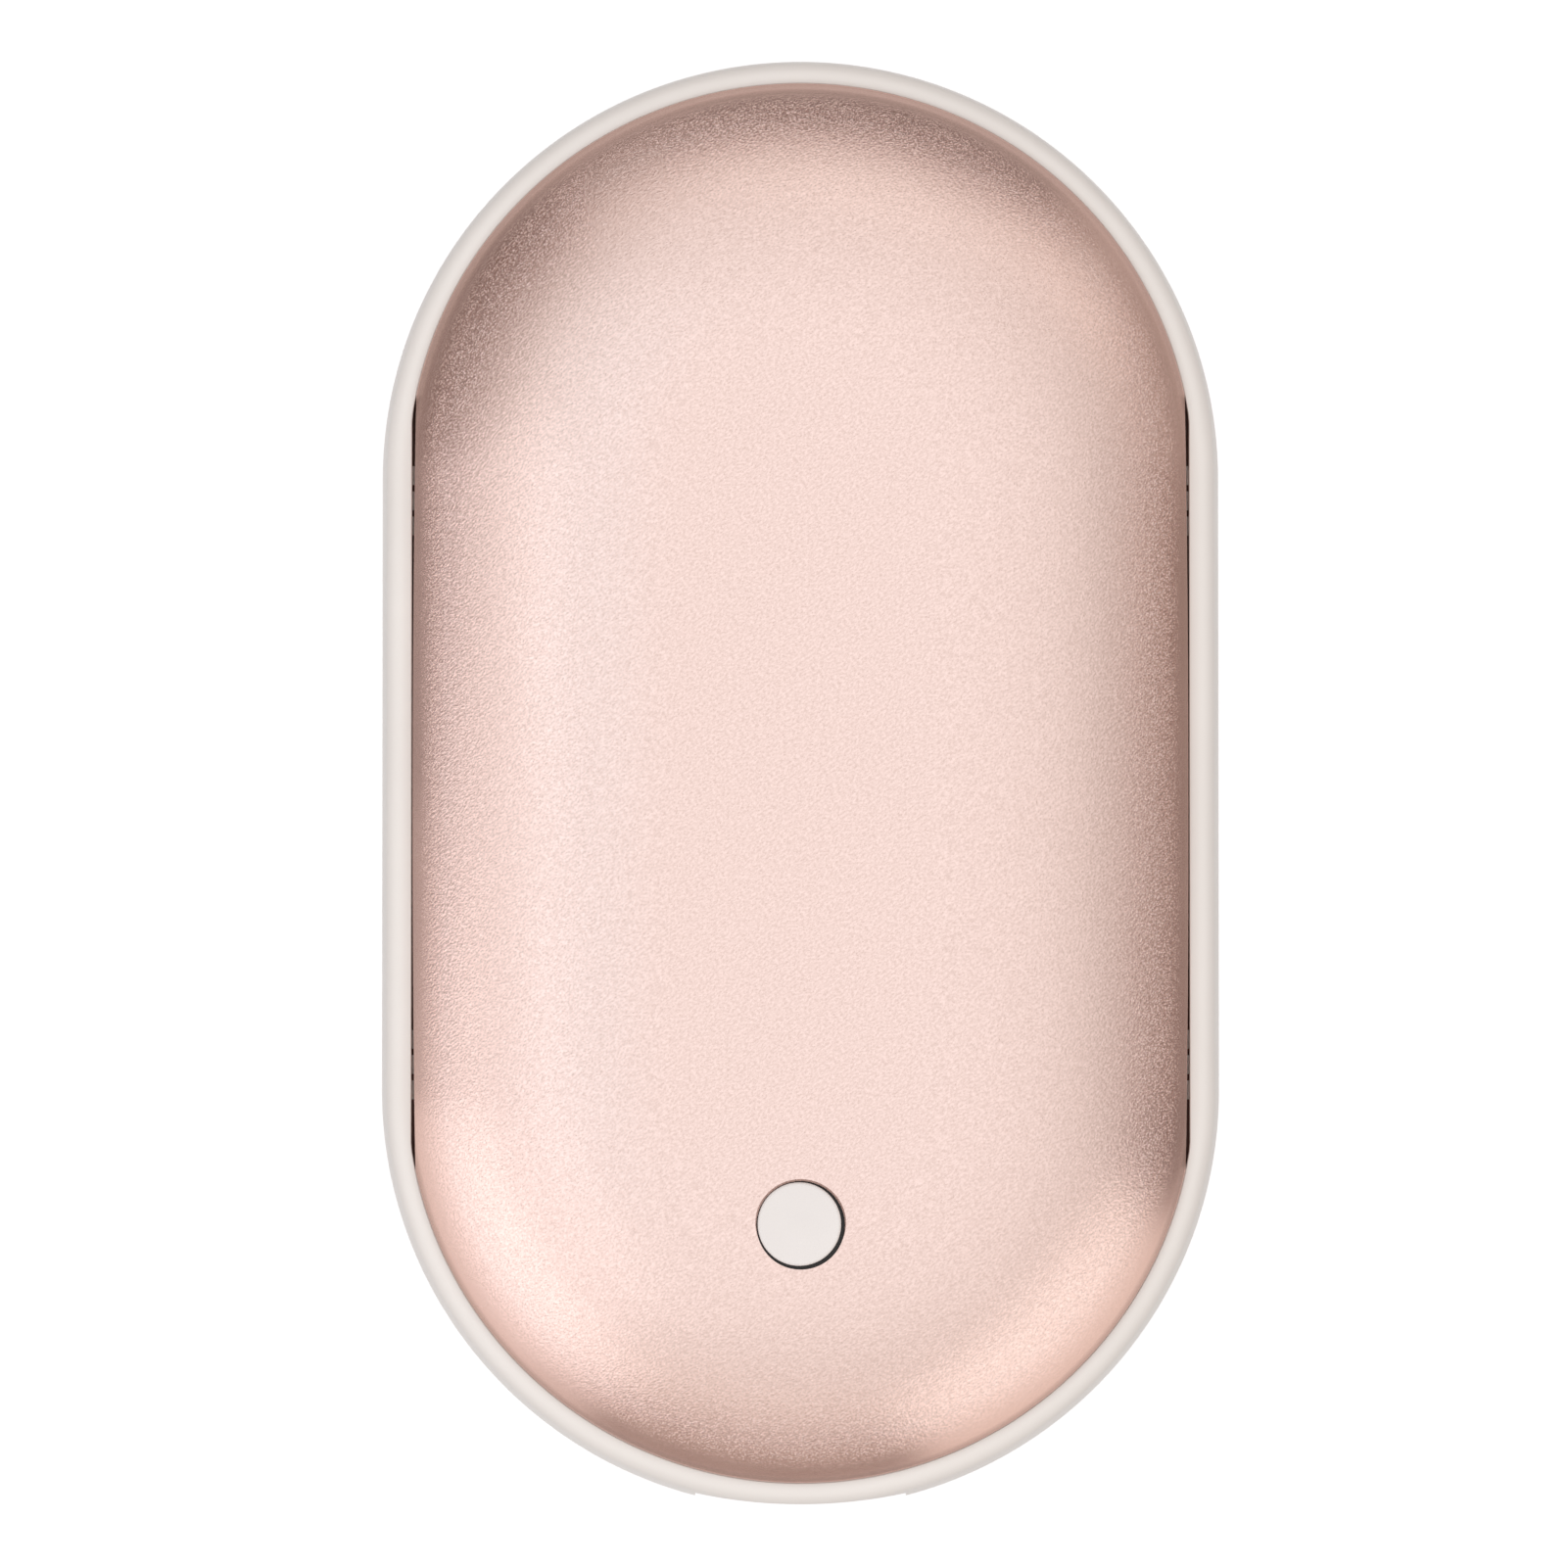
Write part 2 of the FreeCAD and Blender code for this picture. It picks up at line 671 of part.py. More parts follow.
def foam_pad():
    """Foam between the lid and the front film, shaped to the film."""
    block = rounded_block(tray_half_width - foam_side_margin, tray_near_y + foam_end_margin,
                          tray_far_y - foam_end_margin, lid_top, case_thickness, foam_corner_radius)
    inset = shell_wall + film_bond + film_thickness + foam_gap
    return block.common(crown_solid(inset, film_radius, lid_top - overrun))


def main_board():
    disc = post(board_radius, 0, near_y, board_bottom, board_top)
    front = near_y - board_radius - overrun
    keep = box(-board_radius, board_radius, front, board_rear_y, board_bottom, board_top)
    holes = [post(screw_radius + screw_hole_clearance, x, y, board_bottom - overrun, board_top + overrun)
             for x, y in board_screw_places]
    return disc.common(keep).cut(holes)


def socket_shell():
    mouth_y = port_y + port_mouth_recess
    rear_y = mouth_y + socket_length
    tube = rounded_slot(socket_width, socket_height, mouth_y, rear_y)
    bore = rounded_slot(socket_width - 2 * socket_wall, socket_height - 2 * socket_wall,
                        mouth_y - overrun, rear_y - socket_back_thickness)
    foot_y = mouth_y + socket_foot_inset
    feet = []
    for side in (-1, 1):
        inner = socket_width / 2 - socket_height / 2
        outer = socket_width / 2 + socket_foot_width
        low, high = sorted((side * inner, side * outer))
        feet.append(box(low, high, foot_y, foot_y + socket_foot_depth,
                        board_top, board_top + socket_foot_thickness))
    return joined(tube, *feet).cut(bore)


def socket_tongue():
    mouth_y = port_y + port_mouth_recess
    back_y = mouth_y + socket_length - socket_back_thickness
    half = tongue_thickness / 2
    block_trim = 2 * (socket_wall + tongue_block_clearance)
    block = rounded_slot(socket_width - block_trim, socket_height - block_trim,
                         back_y - tongue_block_depth, back_y)
    blade = box(-tongue_width / 2, tongue_width / 2, mouth_y + tongue_recess, back_y,
                socket_z - half, socket_z + half)
    return joined(block, blade)


def socket_contacts():
    tip_y = port_y + port_mouth_recess + tongue_recess + contact_setback
    found = []
    for number in range(contact_count):
        x = (number - (contact_count - 1) / 2) * contact_pitch
        for side in (-1, 1):
            face = socket_z + side * tongue_thickness / 2
            low, high = sorted((face, face + side * contact_thickness))
            found.append(box(x - contact_width / 2, x + contact_width / 2,
                             tip_y, tip_y + contact_length, low, high))
    return Part.Compound(found)


def led_front_y():
    return near_y - math.sqrt(board_radius ** 2 - (light_x + led_width / 2) ** 2)


def light_pipes():
    column = port_face_column(pipe_recess)
    return Part.Compound([rod(pipe_radius, side * light_x, socket_z, near_y - ring_radius,
                              led_front_y() - led_gap).common(column) for side in (-1, 1)])


def status_leds():
    front = led_front_y()
    return Part.Compound([box(side * light_x - led_width / 2, side * light_x + led_width / 2, front,
                              front + led_depth, board_top, board_top + led_height) for side in (-1, 1)])


def switch_base():
    block = box(-switch_width / 2, switch_width / 2, button_y - switch_depth / 2, button_y + switch_depth / 2,
                board_top, board_top + switch_base_height)
    return block.cut(post(switch_cavity_radius, 0, button_y, board_top + switch_floor,
                          board_top + switch_base_height + overrun))


def switch_cover():
    low = board_top + switch_base_height
    high = low + switch_cover_thickness
    plate = box(-switch_width / 2, switch_width / 2, button_y - switch_depth / 2, button_y + switch_depth / 2,
                low, high)
    hole_radius = plunger_radius + switch_cover_hole_clearance
    return plate.cut(post(hole_radius, 0, button_y, low - overrun, high + overrun))


def switch_dome():
    """Thin round snap dome, standing on its rim on the switch's floor."""
    def cap(radius, rise):
        ball_radius = (radius ** 2 + rise ** 2) / (2 * rise)
        ball = Part.makeSphere(ball_radius, Vector(0, 0, rise - ball_radius))
        return ball.common(box(-ball_radius, ball_radius, -ball_radius, ball_radius, 0, rise + overrun))

    dome = cap(snap_radius, snap_rise).cut(cap(snap_radius - snap_thickness, snap_rise - snap_thickness))
    return dome.translated(Vector(0, button_y, board_top + switch_floor))


def switch_plunger():
    low = board_top + switch_floor + snap_rise + plunger_contact_gap
    flange_top = board_top + switch_base_height - plunger_play
    return joined(post(plunger_flange_radius, 0, button_y, low, flange_top),
                  post(plunger_radius, 0, button_y, flange_top, plunger_top))


def button_cap():
    cap_radius = button_hole_radius - button_gap
    top = case_thickness + button_proud
    edge = button_edge_radius
    edge_drop = edge - edge * math.sin(math.pi / 4)
    on_edge = Vector(cap_radius - edge_drop, 0, top - edge_drop)
    outline = [
        Vector(cap_radius, 0, top - edge),
        Vector(cap_radius, 0, button_flange_top),
        Vector(button_flange_radius, 0, button_flange_top),
        Vector(button_flange_radius, 0, button_flange_bottom),
        Vector(button_stem_radius, 0, button_flange_bottom),
        Vector(button_stem_radius, 0, plunger_top),
        Vector(0, 0, plunger_top),
        Vector(0, 0, top),
        Vector(cap_radius - edge, 0, top),
    ]
    edges = [line(start, end) for start, end in zip(outline, outline[1:])]
    edges.append(arc(outline[-1], on_edge, outline[0]))
    return turned(edges).translated(Vector(0, button_y, 0))


def button_guide():
    """Cup under the front shell that keeps the button's flange and guides its stem."""
    low = guide_floor_top - guide_floor
    cup = post(guide_outer_radius, 0, button_y, low, case_thickness)
    room = post(guide_inner_radius, 0, button_y, guide_floor_top, case_thickness + overrun)
    bore = post(button_stem_radius + guide_fit, 0, button_y, low - overrun, guide_floor_top + overrun)
    reach = button_offset + guide_outer_radius + overrun
    under_shell = crown_solid(shell_wall + film_bond, reach, low - overrun)
    return cup.common(under_shell).cut([room, bore])


def on_board(x, setback, width, depth, low, high):
    """Block on top of the main board."""
    y = board_rear_y - setback
    return box(x - width / 2, x + width / 2, y - depth / 2, y + depth / 2, board_top + low, board_top + high)


def chip(x, setback, width, depth, height):
    """Moulded chip body on two rows of legs."""
    count = int((width - chip_leg_width) / chip_leg_pitch)
    legs = []
    for number in range(count):
        leg_x = x + (number - (count - 1) / 2) * chip_leg_pitch
        for side in (-1, 1):
            legs.append(on_board(leg_x, setback + side * depth / 2, chip_leg_width, 2 * chip_leg_reach,
                                 0, chip_leg_height))
    return joined(on_board(x, setback, width, depth, chip_lift, height), *legs)


def power_inductor():
    block = on_board(inductor_x, inductor_setback, inductor_width, inductor_depth, 0, inductor_height)
    upright = [edge for edge in block.Edges if edge.Vertexes[0].X == edge.Vertexes[1].X
               and edge.Vertexes[0].Y == edge.Vertexes[1].Y]
    return block.makeFillet(inductor_corner, upright)


def heater_transistors():
    half_pitch = (transistor_width + part_gap) / 2
    return Part.Compound([on_board(controller_x + side * half_pitch, first_row_setback, transistor_width,
                                   transistor_depth, 0, transistor_height) for side in (-1, 1)])


def chip_capacitors():
    pitch = capacitor_width + part_gap
    return Part.Compound([on_board(-column_x - (number + 1) * pitch, first_row_setback, capacitor_width,
                                   capacitor_depth, 0, capacitor_height) for number in range(capacitor_count)])


def chip_resistors():
    """Two columns beside the charger chip, one row shorter on the left."""
    places = [(column_x, row) for row in (-1, 0, 1)] + [(-column_x, row) for row in (0, 1)]
    return Part.Compound([on_board(x, charger_setback + row * resistor_pitch, resistor_width,
                                   resistor_depth, 0, resistor_height) for x, row in places])


def lead(points, radius, name):
    """Round wire along straight runs, with an arc at each bend as large as the shorter run lets it be."""
    edges = []
    start = points[0]
    radii = []
    for before, corner, after in zip(points, points[1:], points[2:]):
        incoming = (before - corner).normalize()
        outgoing = (after - corner).normalize()
        run = bend_share * min((before - corner).Length, (after - corner).Length)
        half_angle = incoming.getAngle(outgoing) / 2
        bend_radius = run * math.tan(half_angle)
        entry = corner + incoming * run
        leave = corner + outgoing * run
        towards = (incoming + outgoing).normalize()
        centre = corner + towards * (run / math.cos(half_angle))
        edges += [line(start, entry), arc(entry, centre - towards * bend_radius, leave)]
        start = leave
        radii.append(round(bend_radius, 2))
    edges.append(line(start, points[-1]))
    path = Part.Wire(edges)
    ring = Part.Wire(Part.makeCircle(radius, points[0], points[1] - points[0]))
    tube = path.makePipeShell([ring], True, False)
    print(name, "bend radii", radii, "volume", round(tube.Volume, 3),
          "section by length", round(math.pi * radius ** 2 * path.Length, 3))
    return tube


def battery_lead(x, name):
    z = mid_z + seal_thickness / 2 + protector_thickness / 2
    pad_y = board_rear_y - lead_pad_inset
    return lead([Vector(x, protector_near_y, z), Vector(x, pad_y, z), Vector(x, pad_y, board_top)],
                lead_radius, name)


def heater_lead(side, film_z, board_z, name):
    """Lead with a slight set in the middle, from a heater film to a face of the main board."""
    top_y = board_rear_y - heater_lead_top_inset
    pad_y = board_rear_y - heater_lead_pad_inset
    step = heater_lead_shoulder_share * (board_z - film_z)
    return lead([Vector(side * heater_lead_top_x, top_y, film_z),
                 Vector(side * heater_lead_top_x, top_y, film_z + step),
                 Vector(side * heater_lead_pad_x, pad_y, board_z - step),
                 Vector(side * heater_lead_pad_x, pad_y, board_z)], heater_lead_radius, name)


def heater_lead_start():
    """Height under the front film at which the heater leads end."""
    reach = math.hypot(heater_lead_top_x, board_rear_y - heater_lead_top_inset - near_y)
    inset = shell_wall + film_bond + film_thickness
    return dome_height(reach + heater_lead_radius, inset) - heater_lead_gap


def front_heater_leads():
    return Part.Compound([heater_lead(side, heater_lead_start(), board_top, "front_heater_lead")
                          for side in (-1, 1)])


def back_heater_leads():
    film_z = case_thickness - heater_lead_start()
    return Part.Compound([heater_lead(side, film_z, board_bottom, "back_heater_lead") for side in (-1, 1)])


def thermistor():
    y = board_rear_y - thermistor_inset
    inset = shell_wall + film_bond + film_thickness
    film_z = case_thickness - dome_height(near_y - y + thermistor_radius, inset)
    z = film_z + thermistor_gap + thermistor_radius
    half_length = thermistor_length / 2
    bead = Part.makeCylinder(thermistor_radius, thermistor_length, Vector(-half_length, y, z), Vector(1, 0, 0))
    legs = [post(thermistor_leg_radius, side * thermistor_leg_spacing / 2, y, z, board_bottom)
            for side in (-1, 1)]
    return joined(bead, *legs)


def pieces():
    shell = plain_shell()
    film = heater_film()
    pad = foam_pad()
    bond = adhesive()
    return {
        "front_shell": front_shell(shell),
        "back_shell": mirrored_to_back(shell),
        "mid_ring": mid_ring(),
        "front_adhesive": bond,
        "back_adhesive": mirrored_to_back(bond),
        "button_cap": button_cap(),
        "button_guide": button_guide(),
        "switch_base": switch_base(),
        "switch_cover": switch_cover(),
        "switch_dome": switch_dome(),
        "switch_plunger": switch_plunger(),
        "main_board": main_board(),
        "board_screws": board_screws(),
        "socket_shell": socket_shell(),
        "socket_tongue": socket_tongue(),
        "socket_contacts": socket_contacts(),
        "light_pipes": light_pipes(),
        "status_leds": status_leds(),
        "controller_chip": chip(controller_x, controller_setback, controller_width, controller_depth,
                                controller_height),
        "charger_chip": chip(0, charger_setback, charger_width, charger_depth, charger_height),
        "heater_transistors": heater_transistors(),
        "power_inductor": power_inductor(),
        "chip_capacitors": chip_capacitors(),
        "chip_resistors": chip_resistors(),
        "pouch_cell": pouch_cell(),
        "protection_board": protection_board(),
        "red_lead": battery_lead(lead_x, "red_lead"),
        "black_lead": battery_lead(-lead_x, "black_lead"),
        "battery_tray": battery_tray(),
        "battery_lid": battery_lid(),
        "pack_screws": pack_screws(),
        "front_heater_film": front_heater_film(film),
        "back_heater_film": mirrored_to_back(film),
        "front_heater_leads": front_heater_leads(),
        "back_heater_leads": back_heater_leads(),
        "front_foam_pad": pad,
        "back_foam_pad": mirrored_to_back(pad),
        "thermistor": thermistor(),
    }


def main():
    os.makedirs("parts", exist_ok=True)
    print("case", round(2 * ring_radius, 3), round(case_length, 3), round(case_thickness, 3))
    for name, shape in pieces().items():
        print(name, "solids", len(shape.Solids), "valid", shape.isValid(), "volume", round(shape.Volume, 2))
        shape.exportStep("parts/" + name + ".step")


main()
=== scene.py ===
import json
import math

import bmesh
import bpy
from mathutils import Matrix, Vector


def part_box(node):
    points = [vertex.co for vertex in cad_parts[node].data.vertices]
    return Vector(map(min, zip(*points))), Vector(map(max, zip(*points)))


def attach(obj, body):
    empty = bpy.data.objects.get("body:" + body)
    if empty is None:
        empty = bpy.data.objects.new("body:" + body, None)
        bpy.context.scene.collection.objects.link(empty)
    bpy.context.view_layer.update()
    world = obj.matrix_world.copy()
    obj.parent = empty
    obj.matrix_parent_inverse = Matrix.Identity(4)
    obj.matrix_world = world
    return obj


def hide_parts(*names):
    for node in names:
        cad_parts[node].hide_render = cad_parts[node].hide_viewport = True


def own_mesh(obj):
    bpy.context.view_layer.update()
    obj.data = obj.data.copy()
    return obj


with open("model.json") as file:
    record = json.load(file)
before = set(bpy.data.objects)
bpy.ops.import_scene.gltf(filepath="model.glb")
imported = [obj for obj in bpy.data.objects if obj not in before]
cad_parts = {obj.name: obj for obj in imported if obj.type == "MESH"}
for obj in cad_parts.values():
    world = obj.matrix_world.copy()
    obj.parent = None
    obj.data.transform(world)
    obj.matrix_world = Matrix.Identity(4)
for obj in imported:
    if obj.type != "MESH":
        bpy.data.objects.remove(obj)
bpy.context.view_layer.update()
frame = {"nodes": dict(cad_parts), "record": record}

nodes = frame["nodes"]
mm = 0.001

# how near counts as the same: for one number, for a point, and for the flats of a curve
sameNumber, samePoint, sameCurve = 1e-7, 1e-6, 5e-6
wholeRun = 0.9                  # an edge longer than this share of a side runs its whole length
facing = 0.9                    # a face whose normal has more than this along an axis is turned that way
over = 1.0 * mm                 # how far a cutting tool stands past what it cuts

# the case's main sizes, read from the frame
ringLow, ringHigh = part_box("mid_ring")
frontLow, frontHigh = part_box("front_shell")
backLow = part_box("back_shell")[0]
capLow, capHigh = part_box("button_cap")
topZ = frontHigh[2]
midZ = (backLow[2] + topZ) / 2
ringTop = ringHigh[2]
ringRadius = ringHigh[0]
farY = ringHigh[1] - ringRadius                 # middles of the two round ends
shellRadius = frontHigh[1] - farY
nearY = frontLow[1] + shellRadius
middleY = (nearY + farY) / 2
sideHalf = frontHigh[0]
portY = ringLow[1]
buttonY = (capLow[1] + capHigh[1]) / 2


# hands: selecting, opening, closing and joining pieces

def clearSelection():
    bpy.ops.object.select_all(action="DESELECT")


def activate(piece):
    clearSelection()
    piece.select_set(True)
    bpy.context.view_layer.objects.active = piece


def openPiece(piece):
    activate(piece)
    bpy.ops.object.mode_set(mode="EDIT")


def pick(kind, test):
    bpy.ops.mesh.select_mode(type=kind)
    bpy.ops.mesh.select_all(action="DESELECT")
    mesh = bpy.context.edit_object.data
    work = bmesh.from_edit_mesh(mesh)
    parts = {"VERT": work.verts, "EDGE": work.edges, "FACE": work.faces}[kind]
    for part in parts:
        if test(part):
            part.select_set(True)
    work.select_flush_mode()
    bmesh.update_edit_mesh(mesh)


def pickAll():
    bpy.ops.mesh.select_all(action="SELECT")


def sealPiece():
    # turns all faces outward and leaves edit mode
    pickAll()
    bpy.ops.mesh.normals_make_consistent(inside=False)
    bpy.ops.object.mode_set(mode="OBJECT")


def nameActive(name):
    piece = bpy.context.object
    piece.name = name
    piece.data.name = name
    return piece


def useTool(piece, tool, operation):
    activate(piece)
    step = piece.modifiers.new("tool", "BOOLEAN")
    step.operation = operation
    step.solver = "EXACT"
    step.object = tool
    bpy.ops.object.modifier_apply(modifier=step.name)
    bpy.data.meshes.remove(tool.data)


def joinPieces(pieces):
    activate(pieces[0])
    for piece in pieces[1:]:
        piece.select_set(True)
    bpy.ops.object.join()
    return pieces[0]


def mirrorCopy(piece, name, axis):
    # a copy across the case's middle, from side to side (X) or from front to back (Z)
    activate(piece)
    bpy.ops.object.duplicate(linked=False)
    copied = nameActive(name)
    openPiece(copied)
    pickAll()
    bpy.ops.transform.mirror(constraint_axis=(axis == "X", False, axis == "Z"),
                             center_override=(0, 0, midZ if axis == "Z" else 0))
    sealPiece()
    return copied


def smoothPiece(piece, degrees):
    activate(piece)
    bpy.ops.object.shade_smooth_by_angle(angle=math.radians(degrees))


def blockPiece(name, low, high):
    # a block between two corners, left open
    clearSelection()
    bpy.ops.mesh.primitive_cube_add(size=1)
    piece = nameActive(name)
    bpy.ops.object.mode_set(mode="EDIT")
    pickAll()
    bpy.ops.transform.resize(value=[end - start for start, end in zip(low, high)], center_override=(0, 0, 0))
    bpy.ops.transform.translate(value=[(end + start) / 2 for start, end in zip(low, high)])
    return piece


def turnedRows(name, rows, segments):
    # a circle drawn up row by row, each row a radius and a height, left open
    clearSelection()
    radius, height = rows[0]
    bpy.ops.mesh.primitive_circle_add(vertices=segments, radius=radius, fill_type="NOTHING")
    piece = nameActive(name)
    bpy.ops.object.mode_set(mode="EDIT")
    bpy.ops.mesh.select_mode(type="EDGE")
    pickAll()
    bpy.ops.transform.rotate(value=math.pi / segments, orient_axis="Z", center_override=(0, 0, 0))
    bpy.ops.transform.translate(value=(0, 0, height))
    for (lastRadius, lastHeight), (radius, height) in zip(rows, rows[1:]):
        bpy.ops.mesh.extrude_region_move(TRANSFORM_OT_translate={"value": (0, 0, height - lastHeight)})
        grow = radius / lastRadius
        bpy.ops.transform.resize(value=(grow, grow, 1), center_override=(0, 0, 0))
    return piece


def closeEnds(rows):
    # fills the last row, still selected, then the first
    bpy.ops.mesh.edge_face_add()
    radius, height = rows[0]
    pick("VERT", lambda vert: abs(vert.co.z - height) < sameNumber
         and abs(vert.co.xy.length - radius) < samePoint)
    bpy.ops.mesh.edge_face_add()


def turnedPiece(name, rows, segments, place):
    # a solid turned form, moved to its place
    piece = turnedRows(name, rows, segments)
    closeEnds(rows)
    pickAll()
    bpy.ops.transform.translate(value=place)
    sealPiece()
    return piece


def runOf(edge, axis):
    # how far an edge runs along x, y or z
    first, second = (getattr(vert.co, axis) for vert in edge.verts)
    return abs(first - second)


def drawOut(cuts):
    # parts the round form into two ends and divides the straight sides between them
    pick("VERT", lambda vert: vert.co.y > 0)
    bpy.ops.transform.translate(value=(0, farY, 0))
    pick("VERT", lambda vert: vert.co.y < 0)
    bpy.ops.transform.translate(value=(0, nearY, 0))
    span = (farY - nearY) * wholeRun
    pick("EDGE", lambda edge: runOf(edge, "y") > span)
    bpy.ops.mesh.subdivide(number_cuts=cuts)


def holdSides(limit, test):
    # draws what passes the test in to the limit, along both sides
    for side in (-1, 1):
        pick("VERT", lambda vert: side * vert.co.x > limit and test(vert))
        bpy.ops.transform.resize(value=(0, 1, 1), center_override=(side * limit, 0, 0))


def reachOf(spot):
    # how far a spot is from the line between the middles of the two round ends
    past = spot.y - min(max(spot.y, nearY), farY)
    return math.hypot(spot.x, past)


# finishes: nodes, shared node groups and materials

def addNode(tree, kind, **values):
    node = tree.nodes.new(kind)
    for name, value in values.items():
        setattr(node, name, value)
    return node


def setInputs(node, **values):
    for label, value in values.items():
        node.inputs[label.replace("_", " ")].default_value = value
    return node


def doMath(tree, operation, *values):
    node = addNode(tree, "ShaderNodeMath", operation=operation)
    for socket, value in zip(node.inputs, values):
        if isinstance(value, (int, float)):
            socket.default_value = value
        else:
            tree.links.new(value, socket)
    return node.outputs[0]


def mixColours(tree, factor, first, second):
    # each colour is three numbers or another node's output
    node = addNode(tree, "ShaderNodeMix", data_type="RGBA")
    for label, colour in (("A", first), ("B", second)):
        if isinstance(colour, tuple):
            node.inputs[label].default_value = (*colour, 1)
        else:
            tree.links.new(colour, node.inputs[label])
    tree.links.new(factor, node.inputs["Factor"])
    return node.outputs["Result"]


def spread(tree, value, low, high, fromLow=0.3, fromHigh=0.7):
    # noise lies mostly between 0.3 and 0.7
    node = addNode(tree, "ShaderNodeMapRange")
    setInputs(node, From_Min=fromLow, From_Max=fromHigh, To_Min=low, To_Max=high)
    tree.links.new(value, node.inputs["Value"])
    return node.outputs["Result"]


def addBump(tree, shader, height, depth):
    bump = setInputs(addNode(tree, "ShaderNodeBump"), Strength=1.0, Distance=depth)
    tree.links.new(height, bump.inputs["Height"])
    tree.links.new(bump.outputs["Normal"], shader.inputs["Normal"])


def startMaterial(name):
    material = bpy.data.materials.new(name)
    material.use_nodes = True
    shader = material.node_tree.nodes["Principled BSDF"]
    return material, material.node_tree, shader


def newGroup(name, inputs, outputs):
    group = bpy.data.node_groups.new(name, "ShaderNodeTree")
    for label, value in inputs.items():
        socket = group.interface.new_socket(label, in_out="INPUT", socket_type="NodeSocketFloat")
        socket.default_value = value
    for label in outputs:
        group.interface.new_socket(label, in_out="OUTPUT", socket_type="NodeSocketFloat")
    given = group.nodes.new("NodeGroupInput")
    result = group.nodes.new("NodeGroupOutput")
    return group, given, result


def placeGroup(tree, group, **values):
    return setInputs(addNode(tree, "ShaderNodeGroup", node_tree=group), **values)


grainForm = {"fine": {"Detail": 2.0, "Roughness": 0.55}, "slow": {"Detail": 4.0}}


def makeGrain():
    # fine moulded or cast grain: a height and a slower tone
    group, given, result = newGroup("surfaceGrain", {"Scale": 2000.0, "Slow Scale": 60.0}, ("Height", "Tone"))
    place = addNode(group, "ShaderNodeTexCoord")
    for form, scale, output in (("fine", "Scale", "Height"), ("slow", "Slow Scale", "Tone")):
        noise = setInputs(addNode(group, "ShaderNodeTexNoise"), **grainForm[form])
        group.links.new(place.outputs["Object"], noise.inputs["Vector"])
        group.links.new(given.outputs[scale], noise.inputs["Scale"])
        group.links.new(noise.outputs["Fac"], result.inputs[output])
    return group


blastForm = {
    "turn": 35, "stretch": (1.35, 0.9, 1), "dents": {"Detail": 1.0, "Roughness": 0.45, "Distortion": 0.3},
    "specks": {"Detail": 0.0}, "speckScale": 1.7, "speckFrom": 0.62, "speckTo": 0.76,
}


def makeBlast():
    # bead-blasted metal: crowded shallow dents drawn out a little along one diagonal, and a few proud specks
    group, given, result = newGroup("blastedDents", {"Scale": 2600.0}, ("Height", "Sparkle"))
    links = group.links
    place = addNode(group, "ShaderNodeTexCoord")
    turn = addNode(group, "ShaderNodeMapping", vector_type="TEXTURE")
    setInputs(turn, Rotation=(0, 0, math.radians(blastForm["turn"])), Scale=blastForm["stretch"])
    links.new(place.outputs["Object"], turn.inputs["Vector"])
    dents = setInputs(addNode(group, "ShaderNodeTexNoise"), **blastForm["dents"])
    specks = setInputs(addNode(group, "ShaderNodeTexNoise"), **blastForm["specks"])
    for noise in (dents, specks):
        links.new(turn.outputs["Vector"], noise.inputs["Vector"])
    finer = doMath(group, "MULTIPLY", given.outputs["Scale"], blastForm["speckScale"])
    links.new(given.outputs["Scale"], dents.inputs["Scale"])
    links.new(finer, specks.inputs["Scale"])
    proud = spread(group, specks.outputs["Fac"], 0, 1, blastForm["speckFrom"], blastForm["speckTo"])
    links.new(dents.outputs["Fac"], result.inputs["Height"])
    links.new(proud, result.inputs["Sparkle"])
    return group


def makeReach():
    # distance from the line between the middles of the two round ends
    group, given, result = newGroup("rimReach", {"Near": nearY, "Far": farY}, ("Reach",))
    place = addNode(group, "ShaderNodeTexCoord")
    axes = addNode(group, "ShaderNodeSeparateXYZ")
    group.links.new(place.outputs["Object"], axes.inputs["Vector"])
    held = doMath(group, "MINIMUM", axes.outputs["Y"], given.outputs["Far"])
    held = doMath(group, "MAXIMUM", held, given.outputs["Near"])
    past = doMath(group, "SUBTRACT", axes.outputs["Y"], held)
    across = doMath(group, "MULTIPLY", axes.outputs["X"], axes.outputs["X"])
    square = doMath(group, "MULTIPLY_ADD", past, past, across)
    group.links.new(doMath(group, "SQRT", square), result.inputs["Reach"])
    return group


surfaceGrain = makeGrain()
blastedDents = makeBlast()
rimReach = makeReach()


def plainFinish(name, dark, light, rough, metallic=0.0, scale=2000.0, slow=60.0, depth=0.002 * mm, coat=0.0,
                gloss=0.5):
    # a moulded, plated or painted surface with grain and a slow change of tone
    material, tree, shader = startMaterial(name)
    grain = placeGroup(tree, surfaceGrain, Scale=scale, Slow_Scale=slow)
    tone = spread(tree, grain.outputs["Tone"], 0, 1)
    tree.links.new(mixColours(tree, tone, dark, light), shader.inputs["Base Color"])
    tree.links.new(spread(tree, grain.outputs["Tone"], *rough), shader.inputs["Roughness"])
    setInputs(shader, Metallic=metallic, Coat_Weight=coat, Specular_IOR_Level=gloss)
    addBump(tree, shader, grain.outputs["Height"], depth)
    return material
